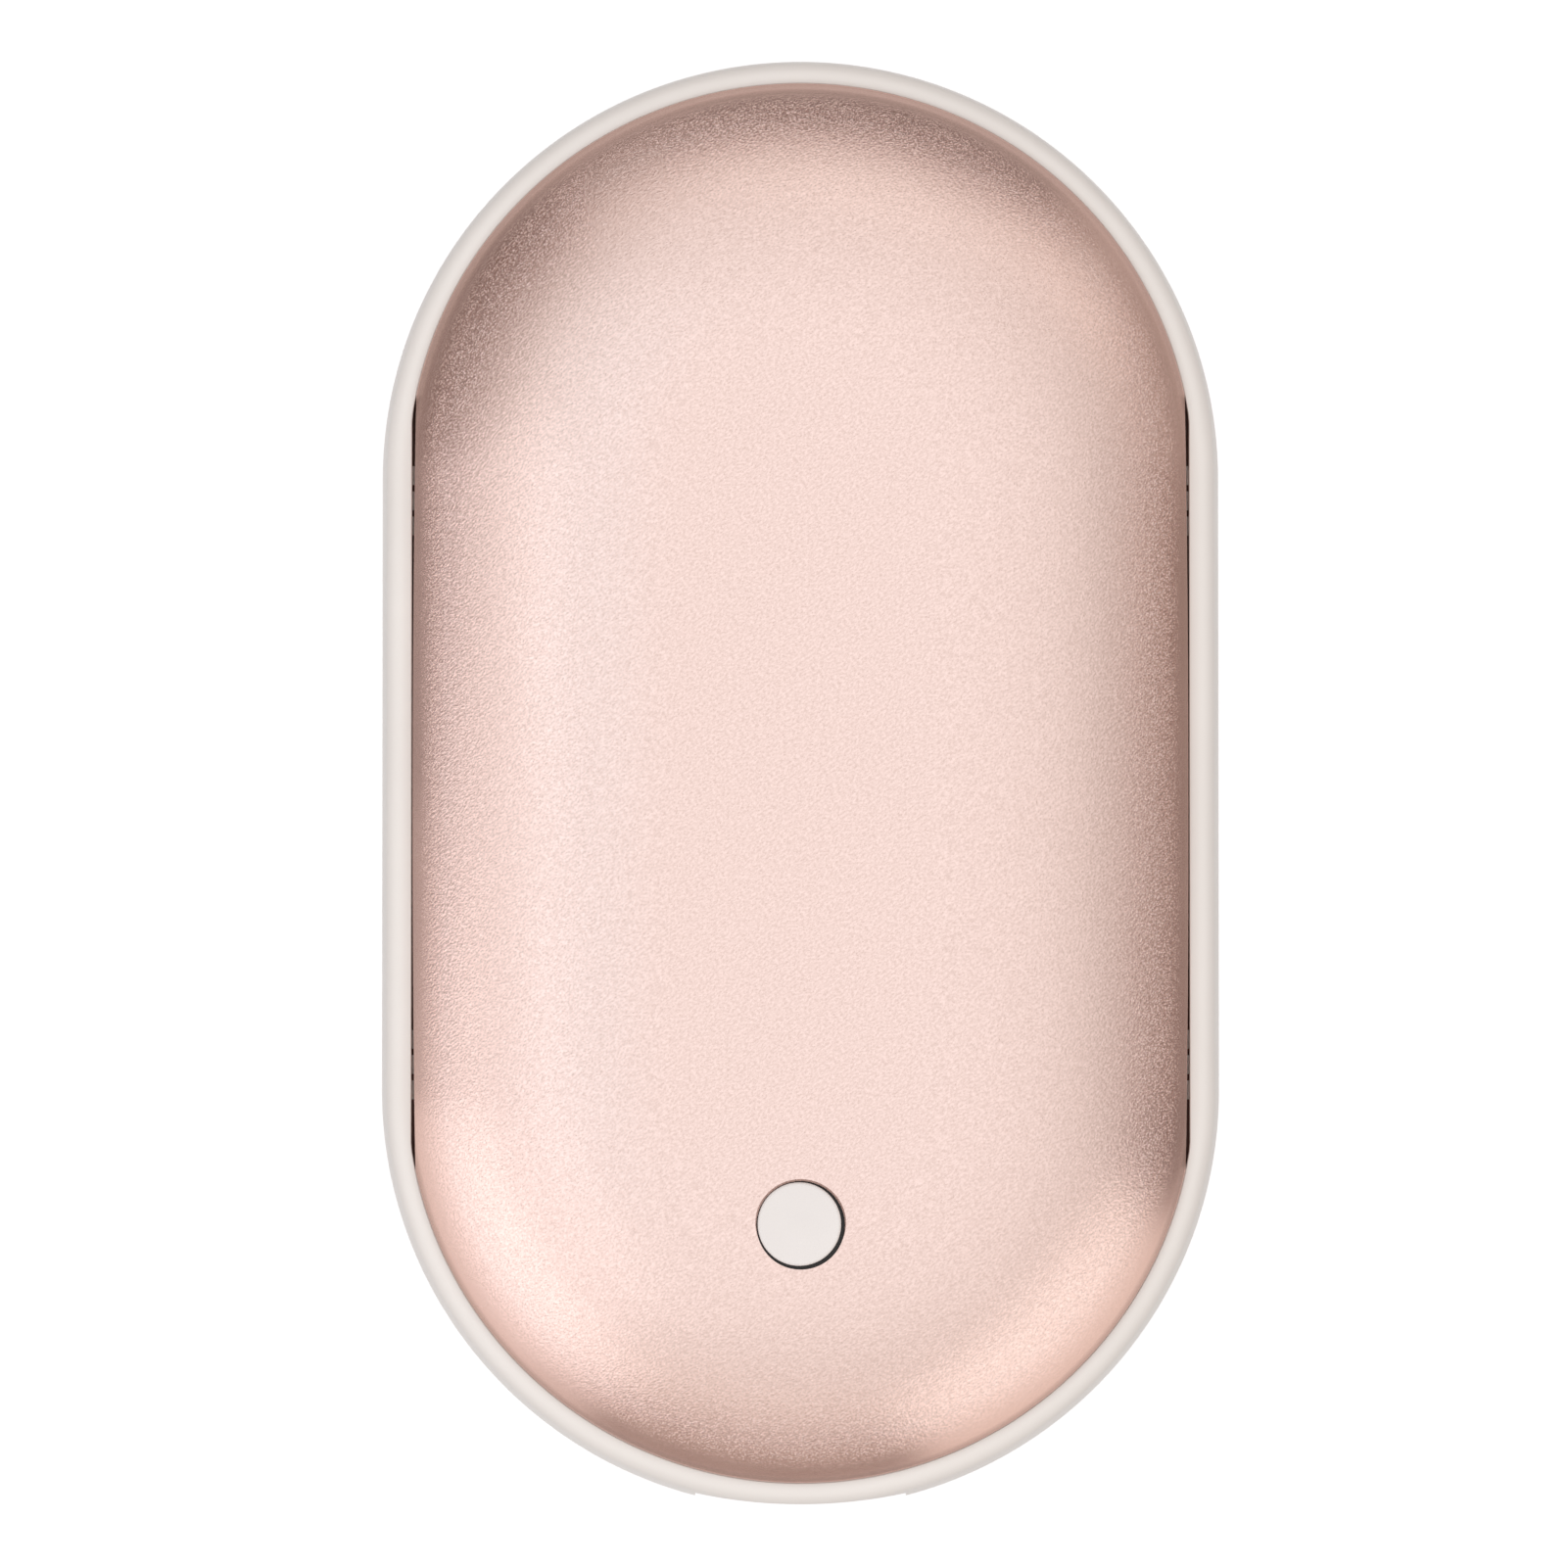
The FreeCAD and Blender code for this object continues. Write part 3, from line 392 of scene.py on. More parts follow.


# rose-gold shell metal, with painted shade in zones given by their reach from the line between the two ends'
# middles

shellFinish = {
    "dark": (0.72, 0.550, 0.501), "light": (0.875, 0.683, 0.634), "rough": (0.22, 0.28), "toneScale": 45.0,
    # rim and edge are painted shade: darker, redder metal colours laid over the rim's bend and on the trimmed
    # edge
    "rim": (0.73, 0.503, 0.432), "rimFrom": 24.4 * mm, "rimTo": 26.9 * mm,
    "edge": (0.50, 0.335, 0.285), "edgeFrom": 26.7 * mm, "edgeTo": 27.05 * mm,
    "scale": 6000.0, "depth": 0.020 * mm, "specks": 0.5, "plainFrom": 25.3 * mm, "plainTo": 26.3 * mm,
}


def makeShellMetal():
    look = shellFinish
    material, tree, shader = startMaterial("roseGoldMetal")
    blast = placeGroup(tree, blastedDents, Scale=look["scale"])
    grain = placeGroup(tree, surfaceGrain, Slow_Scale=look["toneScale"])
    rim = placeGroup(tree, rimReach)
    tone = mixColours(tree, spread(tree, blast.outputs["Height"], 0, 1), look["dark"], look["light"])
    # painted shade: the colour goes darker and redder over the bend at the rim, and darkest at the trimmed edge
    for shadeZone in ("rim", "edge"):
        inShadeZone = spread(tree, rim.outputs["Reach"], 0, 1, look[shadeZone + "From"], look[shadeZone + "To"])
        tone = mixColours(tree, inShadeZone, tone, look[shadeZone])
    tree.links.new(tone, shader.inputs["Base Color"])
    tree.links.new(spread(tree, grain.outputs["Tone"], *look["rough"]), shader.inputs["Roughness"])
    setInputs(shader, Metallic=1.0)
    # the trimmed edge is left smooth
    inward = spread(tree, rim.outputs["Reach"], 1, 0, look["plainFrom"], look["plainTo"])
    dents = doMath(tree, "MULTIPLY_ADD", blast.outputs["Sparkle"], look["specks"], blast.outputs["Height"])
    addBump(tree, shader, doMath(tree, "MULTIPLY", dents, inward), look["depth"])
    return material


# white plastics

ringFinish = {
    "dark": (0.805, 0.765, 0.732), "light": (0.84, 0.80, 0.767), "rough": (0.30, 0.38), "gloss": 0.3,
    "scale": 5200.0, "slow": 70.0, "depth": 0.0012 * mm,
}
buttonFinish = {
    "dark": (0.775, 0.738, 0.722), "light": (0.815, 0.777, 0.758), "rough": (0.22, 0.30),
    "scale": 4200.0, "slow": 160.0, "depth": 0.0008 * mm,
    # the dark gap colour is painted shade, darkening the button's side below its top
    "gapShade": (0.05, 0.04, 0.036), "gapShadeFrom": capHigh[2] - 0.9 * mm, "unshadedTo": capHigh[2] - 0.35 * mm,
}


def makeButtonPlastic():
    look = buttonFinish
    material, tree, shader = startMaterial("whiteButton")
    grain = placeGroup(tree, surfaceGrain, Scale=look["scale"], Slow_Scale=look["slow"])
    ownColour = mixColours(tree, spread(tree, grain.outputs["Tone"], 0, 1), look["dark"], look["light"])
    # painted shade: the colour goes dark down the button's side, in the gap round it
    place = addNode(tree, "ShaderNodeTexCoord")
    axes = addNode(tree, "ShaderNodeSeparateXYZ")
    tree.links.new(place.outputs["Object"], axes.inputs["Vector"])
    inGap = spread(tree, axes.outputs["Z"], 1, 0, look["gapShadeFrom"], look["unshadedTo"])
    tree.links.new(mixColours(tree, inGap, ownColour, look["gapShade"]), shader.inputs["Base Color"])
    tree.links.new(spread(tree, grain.outputs["Tone"], *look["rough"]), shader.inputs["Roughness"])
    addBump(tree, shader, grain.outputs["Height"], look["depth"])
    return material


materials = {
    "shell_metal": makeShellMetal(),
    "ring_plastic": plainFinish("satinWhiteBand", **ringFinish),
    "button_plastic": makeButtonPlastic(),
    "bond": plainFinish("curedBond", (0.11, 0.055, 0.043), (0.17, 0.088, 0.07), (0.5, 0.7), scale=1500.0),
    "inner_plastic": plainFinish("darkTrayPlastic", (0.022, 0.022, 0.024), (0.034, 0.034, 0.037), (0.45, 0.6),
                                 scale=4000.0, depth=0.006 * mm),
    "cell_pouch": plainFinish("cellFoil", (0.50, 0.51, 0.53), (0.62, 0.63, 0.65), (0.28, 0.45), metallic=1.0,
                              scale=450.0, depth=0.05 * mm),
    "board_laminate": plainFinish("boardMask", (0.008, 0.055, 0.026), (0.014, 0.085, 0.04), (0.22, 0.34),
                                  scale=900.0, slow=400.0, depth=0.004 * mm),
    "black_moulding": plainFinish("chipBlack", (0.010, 0.010, 0.011), (0.018, 0.018, 0.019), (0.42, 0.58),
                                  scale=5000.0, depth=0.004 * mm),
    "switch_button_moulding": plainFinish("switchBlack", (0.014, 0.014, 0.015), (0.022, 0.022, 0.024),
                                          (0.35, 0.5), scale=5000.0),
    "tan_ceramic": plainFinish("firedCeramic", (0.26, 0.165, 0.095), (0.34, 0.22, 0.13), (0.4, 0.55),
                               scale=5000.0, slow=900.0),
    "ferrite": plainFinish("pressedFerrite", (0.028, 0.028, 0.03), (0.045, 0.045, 0.048), (0.5, 0.7),
                           scale=3000.0, depth=0.01 * mm),
    "plated_steel": plainFinish("nickelPlate", (0.52, 0.52, 0.525), (0.62, 0.62, 0.625), (0.20, 0.34),
                                metallic=1.0, scale=1800.0, slow=300.0),
    "screw_steel": plainFinish("zincPlate", (0.42, 0.42, 0.43), (0.54, 0.54, 0.55), (0.28, 0.42), metallic=1.0,
                               scale=2400.0, slow=500.0),
    "gold_plate": plainFinish("goldPlate", (0.74, 0.46, 0.14), (0.83, 0.54, 0.19), (0.16, 0.28), metallic=1.0,
                              scale=3000.0, slow=900.0),
    "frosted_clear": plainFinish("frostedPipe", (0.72, 0.75, 0.77), (0.80, 0.83, 0.85), (0.35, 0.5),
                                 scale=5200.0, slow=900.0),
    "led_resin": plainFinish("lampResin", (0.76, 0.72, 0.50), (0.84, 0.80, 0.58), (0.2, 0.3), slow=900.0),
    "amber_film": plainFinish("amberFilm", (0.30, 0.085, 0.008), (0.38, 0.115, 0.012), (0.18, 0.3), scale=700.0,
                              slow=120.0, coat=0.3),
    "foam": plainFinish("closedCellFoam", (0.045, 0.045, 0.05), (0.075, 0.075, 0.08), (0.8, 0.95), scale=1800.0,
                        slow=300.0, depth=0.12 * mm),
    "red_insulation": plainFinish("redInsulation", (0.30, 0.008, 0.006), (0.37, 0.014, 0.011), (0.35, 0.5)),
    "black_insulation": plainFinish("blackInsulation", (0.010, 0.010, 0.010), (0.018, 0.018, 0.018),
                                    (0.35, 0.5)),
    "white_insulation": plainFinish("whiteInsulation", (0.62, 0.59, 0.53), (0.70, 0.67, 0.61), (0.35, 0.5)),
    "epoxy_bead": plainFinish("epoxyBead", (0.012, 0.012, 0.014), (0.02, 0.02, 0.024), (0.15, 0.25)),
}
for subpart in frame["record"]["subparts"]:
    for socket in nodes[subpart["node"]].material_slots:
        socket.material = materials[subpart["material_slot"]]
print("finishes made:", len(materials))


def dress(piece, slotName, body, *replaced):
    piece.data.materials.clear()
    piece.data.materials.append(materials[slotName])
    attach(piece, body)
    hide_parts(*replaced)


# shells

shell = {
    "segments": 256, "sideCuts": 40, "smooth": 32, "wall": 0.8 * mm, "flatHalf": 8.0 * mm,
    "formRadius": 1.3 * mm, "formDrop": 0.1 * mm, "outerBend": 0.3 * mm, "innerBend": 0.5 * mm,
    "bendSteps": 6, "domeSteps": 36, "flatRows": (5.4 * mm, 2.8 * mm, 0.6 * mm),
    "sideBow": 0.22 * mm, "bowCuts": 47,
    "holeRadius": 3.02 * mm, "holeBreak": 0.1 * mm, "holeDeep": 3.0 * mm, "holeSegments": 96,
}
# the dome's circle touches the flat top and the forming radius above the band
domeRun = shellRadius - shell["flatHalf"] - shell["formRadius"]
domeRise = topZ - ringTop + shell["formDrop"]
domeRadius = (domeRun ** 2 + domeRise ** 2 - shell["formRadius"] ** 2) / (2 * (domeRise - shell["formRadius"]))
domeZ = topZ - domeRadius


def domeRows(inset, bend, lowZ):
    rim = shellRadius - inset
    large = domeRadius - inset
    bendRun = rim - bend - shell["flatHalf"]
    bendRise = math.sqrt((large - bend) ** 2 - bendRun ** 2)
    lean = math.atan2(bendRun, bendRise)
    rows = [(rim, lowZ), (rim, domeZ + bendRise)]
    for step in range(1, shell["bendSteps"] + 1):
        angle = math.pi / 2 + (lean - math.pi / 2) * step / shell["bendSteps"]
        rows.append((rim - bend + bend * math.sin(angle), domeZ + bendRise + bend * math.cos(angle)))
    for step in range(1, shell["domeSteps"] + 1):
        angle = lean * (1 - step / shell["domeSteps"])
        rows.append((shell["flatHalf"] + large * math.sin(angle), domeZ + large * math.cos(angle)))
    rows += [(radius, topZ - inset) for radius in shell["flatRows"]]
    return rows


def solidDome(name, inset, bend, lowZ):
    rows = domeRows(inset, bend, lowZ)
    piece = turnedRows(name, rows, shell["segments"])
    closeEnds(rows)
    drawOut(shell["sideCuts"])
    sealPiece()
    return piece


def bowSpan(inset):
    # from the case's middle to where a bowed side meets the round end
    corner = sideHalf - inset - shell["sideBow"]
    return (farY - nearY) / 2 + math.sqrt((shellRadius - inset) ** 2 - corner ** 2)


def sideSlab(inset, lowZ, highZ):
    # block with gently bowed sides that trims the dome's sides
    half = sideHalf - inset
    length = farY - nearY + 2 * (shellRadius + over)
    bowRadius = (bowSpan(inset) ** 2 + shell["sideBow"] ** 2) / (2 * shell["sideBow"])
    piece = blockPiece("sideSlab", (-half, middleY - length / 2, lowZ), (half, middleY + length / 2, highZ))
    pick("EDGE", lambda edge: runOf(edge, "y") > length / 2)
    bpy.ops.mesh.subdivide(number_cuts=shell["bowCuts"])
    pitch = length / (shell["bowCuts"] + 1)
    for row in range(shell["bowCuts"] + 2):
        along = -length / 2 + pitch * row
        bow = bowRadius - math.sqrt(bowRadius ** 2 - along ** 2)
        pick("VERT", lambda vert: abs(vert.co.y - middleY - along) < pitch / 4)
        bpy.ops.transform.resize(value=((half - bow) / half, 1, 1), center_override=(0, 0, 0))
    sealPiece()
    return piece


def trimmedDome(name, inset, bend, lowZ):
    piece = solidDome(name, inset, bend, lowZ)
    useTool(piece, sideSlab(inset, lowZ - over, topZ + over), "INTERSECT")
    return piece


def makeShells():
    frontShell = trimmedDome("frontShell", 0, shell["outerBend"], frontLow[2])
    hollow = trimmedDome("hollow", shell["wall"], shell["innerBend"], frontLow[2] - over)
    useTool(frontShell, hollow, "DIFFERENCE")
    backShell = mirrorCopy(frontShell, "backShell", "Z")
    # button hole with its broken edge
    past = nearY - buttonY - shell["flatHalf"]
    surface = domeZ + math.sqrt(domeRadius ** 2 - past ** 2)
    radius, edge = shell["holeRadius"], shell["holeBreak"]
    rows = [(radius, surface - shell["holeDeep"]), (radius, surface - edge), (radius + edge, surface),
            (radius + edge + over, surface + over)]
    useTool(frontShell, turnedPiece("holeCutter", rows, shell["holeSegments"], (0, buttonY, 0)), "DIFFERENCE")
    for piece, node in ((frontShell, "front_shell"), (backShell, "back_shell")):
        smoothPiece(piece, shell["smooth"])
        dress(piece, "shell_metal", "housing", node)
    print("shells made:", len(frontShell.data.polygons), "and", len(backShell.data.polygons), "faces")


makeShells()


# white band: its section, the charging face with its holes, the ribs, and the lugs for the screws

band = {
    "segments": 256, "sideCuts": 40, "smooth": 35, "wall": 3.1 * mm, "ledgeHalf": 2.7 * mm, "soft": 0.05 * mm,
    "lipGap": 0.008 * mm, "lipSideHalf": 26.84 * mm,
    "crownRadius": 16.0 * mm, "crownSteps": 14, "edgeRadius": 1.3 * mm, "edgeSteps": 9,
    "faceRadius": 35.0 * mm, "faceSegments": 720, "faceHalf": 7.1 * mm, "faceFlare": 1.1236,
    "faceOut": 1.5 * mm, "faceIn": 1.2 * mm,
    "mouthWidth": 9.34 * mm, "mouthHeight": 3.66 * mm, "mouthEase": 0.16 * mm, "mouthCuts": 13,
    "boreRadius": 0.48 * mm, "boreEase": 0.06 * mm,
    "easeSteps": 4, "easeReach": 1.5 * mm, "inletSegments": 48, "inletDeep": 4.0 * mm, "inletOut": 2.0 * mm,
    "ribWidth": 1.3 * mm, "ribPitch": 1.75 * mm, "ribCount": 3, "ribSetback": 1.7 * mm, "ribGap": 0.06 * mm,
    "ribDrop": 1.2 * mm, "ribFoot": 0.2 * mm, "ribRoot": 0.6 * mm, "ribBreak": 0.04 * mm, "ribSteps": 2,
    "lugRadius": 2.0 * mm, "lugHalf": 1.0 * mm, "lugX": 23.5 * mm, "lugReach": 1.2 * mm,
    "lugSetback": 5.0 * mm, "lugHole": 1.05 * mm, "postSegments": 40,
    "bossRadius": 2.2 * mm, "bossDrop": 4.0 * mm, "armThick": 1.8 * mm, "pilotDepth": 3.8 * mm,
    "webFrom": 24.6 * mm, "webTo": 25.75 * mm, "rootTo": 26.55 * mm,
}
ringInner = ringRadius - band["wall"]
ringHalf = ringTop - midZ
lipReach = shellRadius + band["lipGap"]
socketLow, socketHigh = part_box("socket_shell")
pipeLow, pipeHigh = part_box("light_pipes")
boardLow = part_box("main_board")[0][2]
screwLow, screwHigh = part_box("board_screws")
screwY = (screwLow[1] + screwHigh[1]) / 2
screwX = screwHigh[0] - (screwHigh[1] - screwLow[1]) / 2


def bandRows():
    soft, crown, rounding = band["soft"], band["crownRadius"], band["edgeRadius"]
    crownX = ringRadius - crown
    edgeZ = ringHalf - rounding
    edgeRun = math.sqrt((crown - rounding) ** 2 - edgeZ ** 2)
    lean = math.atan2(edgeZ, edgeRun)
    half = [(ringInner, band["ledgeHalf"]), (lipReach, band["ledgeHalf"]), (lipReach, ringHalf - soft),
            (lipReach + soft, ringHalf)]
    for step in range(band["edgeSteps"] + 1):
        angle = math.pi / 2 + (lean - math.pi / 2) * step / band["edgeSteps"]
        half.append((crownX + edgeRun + rounding * math.cos(angle), edgeZ + rounding * math.sin(angle)))
    for step in range(1, band["crownSteps"]):
        angle = lean * (1 - step / band["crownSteps"])
        half.append((crownX + crown * math.cos(angle), crown * math.sin(angle)))
    upper = [(radius, midZ + rise) for radius, rise in half]
    lower = [(radius, midZ - rise) for radius, rise in reversed(half)]
    return upper + [(ringRadius, midZ)] + lower + upper[:1]


def holdLip(reach, limit):
    # the lip runs straight along both sides
    holdSides(limit, lambda vert: abs(reachOf(vert.co) - reach) < sameCurve
              and abs(vert.co.z - midZ) > band["ledgeHalf"] - samePoint)


def faceTool():
    # all that stands outside the flattened charging face
    low, high = midZ - ringHalf - over, ringTop + over
    block = blockPiece("faceTool", (-band["faceHalf"], portY - band["faceOut"], low),
                       (band["faceHalf"], portY + band["faceIn"], high))
    pick("VERT", lambda vert: vert.co.y < portY)
    bpy.ops.transform.resize(value=(band["faceFlare"], 1, 1), center_override=(0, 0, 0))
    sealPiece()
    rows = [(band["faceRadius"], low - over), (band["faceRadius"], high + over)]
    column = turnedPiece("faceColumn", rows, band["faceSegments"], (0, portY + band["faceRadius"], 0))
    useTool(block, column, "DIFFERENCE")
    return block


def inletTool(name, radius, half, ease, along, height):
    # a round or slotted hole into the charging face, its rim eased along the face's curve
    rows = [(radius, -band["inletDeep"])]
    for step in range(band["easeSteps"] + 1):
        angle = math.pi / 2 * step / band["easeSteps"]
        rows.append((radius + ease * (1 - math.cos(angle)), ease * (math.sin(angle) - 1)))
    rows.append((radius + ease, band["inletOut"]))
    tool = turnedRows(name, rows, band["inletSegments"])
    closeEnds(rows)
    if half:
        for side in (-1, 1):
            pick("VERT", lambda vert: side * vert.co.x > 0)
            bpy.ops.transform.translate(value=(side * half, 0, 0))
        pick("EDGE", lambda edge: runOf(edge, "x") > 2 * half * wholeRun)
        bpy.ops.mesh.subdivide(number_cuts=band["mouthCuts"])
    pickAll()
    bpy.ops.transform.translate(value=(along, 0, 0))
    # the eased rows drop back with the face
    spots = bmesh.from_edit_mesh(tool.data).verts
    for place in sorted({round(spot.co.x, 7) for spot in spots}):
        pick("VERT", lambda vert: abs(vert.co.x - place) < sameNumber and abs(vert.co.z) < band["easeReach"])
        drop = band["faceRadius"] - math.sqrt(band["faceRadius"] ** 2 - place ** 2)
        bpy.ops.transform.translate(value=(0, 0, -drop))
    pickAll()
    bpy.ops.transform.rotate(value=-math.pi / 2, orient_axis="X", center_override=(0, 0, 0))
    bpy.ops.transform.translate(value=(0, portY, height))
    sealPiece()
    return tool


def mouthTool():
    radius = band["mouthHeight"] / 2
    return inletTool("mouthTool", radius, band["mouthWidth"] / 2 - radius, band["mouthEase"], 0,
                     (socketLow[2] + socketHigh[2]) / 2)


def boreTool():
    pipeX = pipeHigh[0] - (pipeHigh[2] - pipeLow[2]) / 2
    pipeZ = (pipeLow[2] + pipeHigh[2]) / 2
    return joinPieces([inletTool("boreTool", band["boreRadius"], 0, band["boreEase"], side * pipeX, pipeZ)
                       for side in (-1, 1)])


def ribTool():
    # small upright ribs that centre the shells along both sides
    found = []
    halfWidth = band["ribWidth"] / 2
    outer = band["lipSideHalf"] + band["ribRoot"]
    for setback in (nearY + band["ribSetback"], farY - band["ribSetback"]):
        for number in range(band["ribCount"]):
            along = setback + (number - (band["ribCount"] - 1) / 2) * band["ribPitch"]
            inner = sideHalf - shell["sideBow"] * ((along - middleY) / bowSpan(0)) ** 2 + band["ribGap"]
            rib = blockPiece("rib", (inner, along - halfWidth, midZ + band["ledgeHalf"] - band["ribFoot"]),
                             (outer, along + halfWidth, ringTop - band["ribDrop"]))
            pick("EDGE", lambda edge: all(vert.co.x < inner + samePoint for vert in edge.verts))
            bpy.ops.mesh.bevel(offset=band["ribBreak"], segments=band["ribSteps"], affect="EDGES")
            sealPiece()
            found.append(rib)
    ribs = joinPieces(found)
    for axis in "XZ":
        ribs = joinPieces([ribs, mirrorCopy(ribs, "otherRibs", axis)])
    return ribs


def lugTool(radius, reach, halfHeight):
    # rounded lugs that carry the battery case's screws, drawn out to the wall
    found = []
    rows = [(radius, midZ - halfHeight), (radius, midZ + halfHeight)]
    for side in (-1, 1):
        for along in (nearY + band["lugSetback"], farY - band["lugSetback"]):
            lug = turnedRows("lug", rows, band["postSegments"])
            closeEnds(rows)
            pick("VERT", lambda vert: side * vert.co.x > 0)
            bpy.ops.transform.translate(value=(side * reach, 0, 0))
            pickAll()
            bpy.ops.transform.translate(value=(side * band["lugX"], along, 0))
            sealPiece()
            found.append(lug)
    return joinPieces(found)


def boardLugTool():
    # arms and bosses under the main board, each hung from the ledge by an upright web
    away = math.hypot(screwX, screwY - nearY)
    turn = math.atan2(screwY - nearY, screwX)
    half, webFrom, webTo = band["bossRadius"], band["webFrom"], band["webTo"]
    arm = blockPiece("boardArm", (away, -half, boardLow - band["armThick"]), (webFrom, half, boardLow))
    steps = (
        (lambda face: face.normal.x > facing, (webTo - webFrom, 0, 0)),
        (lambda face: face.normal.z > facing and face.calc_center_median().x > webFrom,
         (0, 0, midZ - boardLow)),
        (lambda face: face.normal.x > facing and face.calc_center_median().z > boardLow,
         (band["rootTo"] - webTo, 0, 0)),
    )
    for test, move in steps:
        pick("FACE", test)
        bpy.ops.mesh.extrude_region_move(TRANSFORM_OT_translate={"value": move})
    sealPiece()
    rows = [(half, boardLow - band["bossDrop"]), (half, boardLow)]
    useTool(arm, turnedPiece("boardBoss", rows, band["postSegments"], (away, 0, 0)), "UNION")
    openPiece(arm)
    pickAll()
    bpy.ops.transform.rotate(value=-turn, orient_axis="Z", center_override=(0, 0, 0))
    bpy.ops.transform.translate(value=(0, nearY, 0))
    sealPiece()
    return joinPieces([arm, mirrorCopy(arm, "otherArm", "X")])


def pilotTool():
    rows = [(band["lugHole"], boardLow - band["pilotDepth"]), (band["lugHole"], boardLow + over)]
    return joinPieces([turnedPiece("pilotHole", rows, band["postSegments"], (side * screwX, screwY, 0))
                       for side in (-1, 1)])


def makeBand():
    piece = turnedRows("waistBand", bandRows(), band["segments"])
    pickAll()
    bpy.ops.mesh.remove_doubles(threshold=samePoint)
    drawOut(band["sideCuts"])
    holdLip(lipReach, band["lipSideHalf"])
    holdLip(lipReach + band["soft"], band["lipSideHalf"] + band["soft"])
    sealPiece()
    useTool(piece, ribTool(), "UNION")
    useTool(piece, lugTool(band["lugRadius"], band["lugReach"], band["lugHalf"]), "UNION")
    useTool(piece, lugTool(band["lugHole"], 0, 2 * band["lugHalf"]), "DIFFERENCE")
    useTool(piece, boardLugTool(), "UNION")
    useTool(piece, pilotTool(), "DIFFERENCE")
    useTool(piece, faceTool(), "DIFFERENCE")
    useTool(piece, mouthTool(), "DIFFERENCE")
    useTool(piece, boreTool(), "DIFFERENCE")
    smoothPiece(piece, band["smooth"])
    dress(piece, "ring_plastic", "housing", "mid_ring")
    print("band made:", len(piece.data.polygons), "faces")


makeBand()


# bonding beads that fill the seat of each shell out to the band's lip

bead = {"segments": 256, "smooth": 35, "thick": 0.2 * mm, "rise": 0.12 * mm, "inset": 0.05 * mm}


def makeBeads():
    low = midZ + band["ledgeHalf"]
    top = low + bead["thick"]
    inner = shellRadius - shell["wall"]
    rows = [(inner, low), (inner, top), (shellRadius - bead["inset"], top), (lipReach, top + bead["rise"]),
            (lipReach, low), (inner, low)]
    front = turnedRows("frontBead", rows, bead["segments"])
    pickAll()
    bpy.ops.mesh.remove_doubles(threshold=samePoint)
    drawOut(band["sideCuts"])
    middle = (inner + shellRadius) / 2
    shellSide = sideHalf - shell["sideBow"]
    outer = lipReach - sameCurve
    holdSides(shellSide - shell["wall"], lambda vert: reachOf(vert.co) < middle)
    holdSides(band["lipSideHalf"], lambda vert: reachOf(vert.co) > outer)
    holdSides(shellSide, lambda vert: middle < reachOf(vert.co) < outer
              and low + samePoint < vert.co.z < top + samePoint)
    sealPiece()
    back = mirrorCopy(front, "backBead", "Z")
    for piece, node in ((front, "front_adhesive"), (back, "back_adhesive")):
        smoothPiece(piece, bead["smooth"])
        dress(piece, "bond", "housing", node)
    print("bonding beads made")


makeBeads()


# button, a little off the middle of its hole

button = {
    "segments": 96, "smooth": 35, "radius": 2.85 * mm, "edge": 0.22 * mm, "edgeSteps": 6,
    "flangeRadius": 3.9 * mm, "flangeDrop": 1.726 * mm, "flangeThick": 1.0 * mm, "stemRadius": 1.5 * mm,
    "dish": 0.012 * mm, "dishRows": (0.94, 0.82, 0.62, 0.4, 0.18), "playX": -0.09 * mm, "playY": 0.09 * mm,
}


def makeButton():
    top, edge = capHigh[2], button["edge"]
    stem, flange, face = button["stemRadius"], button["flangeRadius"], button["radius"]
    flangeTop = top - button["flangeDrop"]
    flangeLow = flangeTop - button["flangeThick"]
    rows = [(stem, capLow[2]), (stem, flangeLow), (flange, flangeLow), (flange, flangeTop), (face, flangeTop)]
    inner = face - edge
    for step in range(button["edgeSteps"] + 1):
        angle = math.pi / 2 * step / button["edgeSteps"]
        rows.append((inner + edge * math.cos(angle), top - edge + edge * math.sin(angle)))
    for share in button["dishRows"]:
        rows.append((inner * share, top - button["dish"] * (1 - share ** 2)))
    piece = turnedPiece("buttonCap", rows, button["segments"], (button["playX"], buttonY + button["playY"], 0))
    smoothPiece(piece, button["smooth"])
    dress(piece, "button_plastic", "button", "button_cap")
    print("button made:", len(piece.data.polygons), "faces")


makeButton()


# snap dome in the switch, which flattens under the plunger

snap = {"segments": 48, "smooth": 35, "steps": 8, "thick": 0.1 * mm, "tip": 0.08 * mm, "keep": 0.43}


def capRows(wide, tall, low):
    # a shallow ball cap from its tip down to its rim
    ball = (wide ** 2 + tall ** 2) / (2 * tall)
    first, last = math.asin(snap["tip"] / ball), math.asin(wide / ball)
    angles = [first + (last - first) * step / snap["steps"] for step in range(snap["steps"] + 1)]
    return [(ball * math.sin(angle), low + tall - ball + ball * math.cos(angle)) for angle in angles]


def makeSnapDome():
    low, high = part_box("switch_dome")
    radius, rise = high[0], high[2] - low[2]
    inside = capRows(radius - snap["thick"], rise - snap["thick"], low[2])
    rows = inside + capRows(radius, rise, low[2])[::-1]
    piece = turnedPiece("snapDome", rows, snap["segments"], (0, buttonY, 0))
    smoothPiece(piece, snap["smooth"])
    dress(piece, "plated_steel", "housing", "switch_dome")
    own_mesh(piece)
    print("snap dome made")


makeSnapDome()


# foam pads between the heater films and the battery case

pad = {
    "smooth": 40, "corner": 3.0 * mm, "cornerSteps": 8, "round": 1.1 * mm, "roundSteps": 5,
    "inset": 1.6 * mm, "innerInset": 4.8 * mm, "level": 0.99, "ringSides": 8,
}


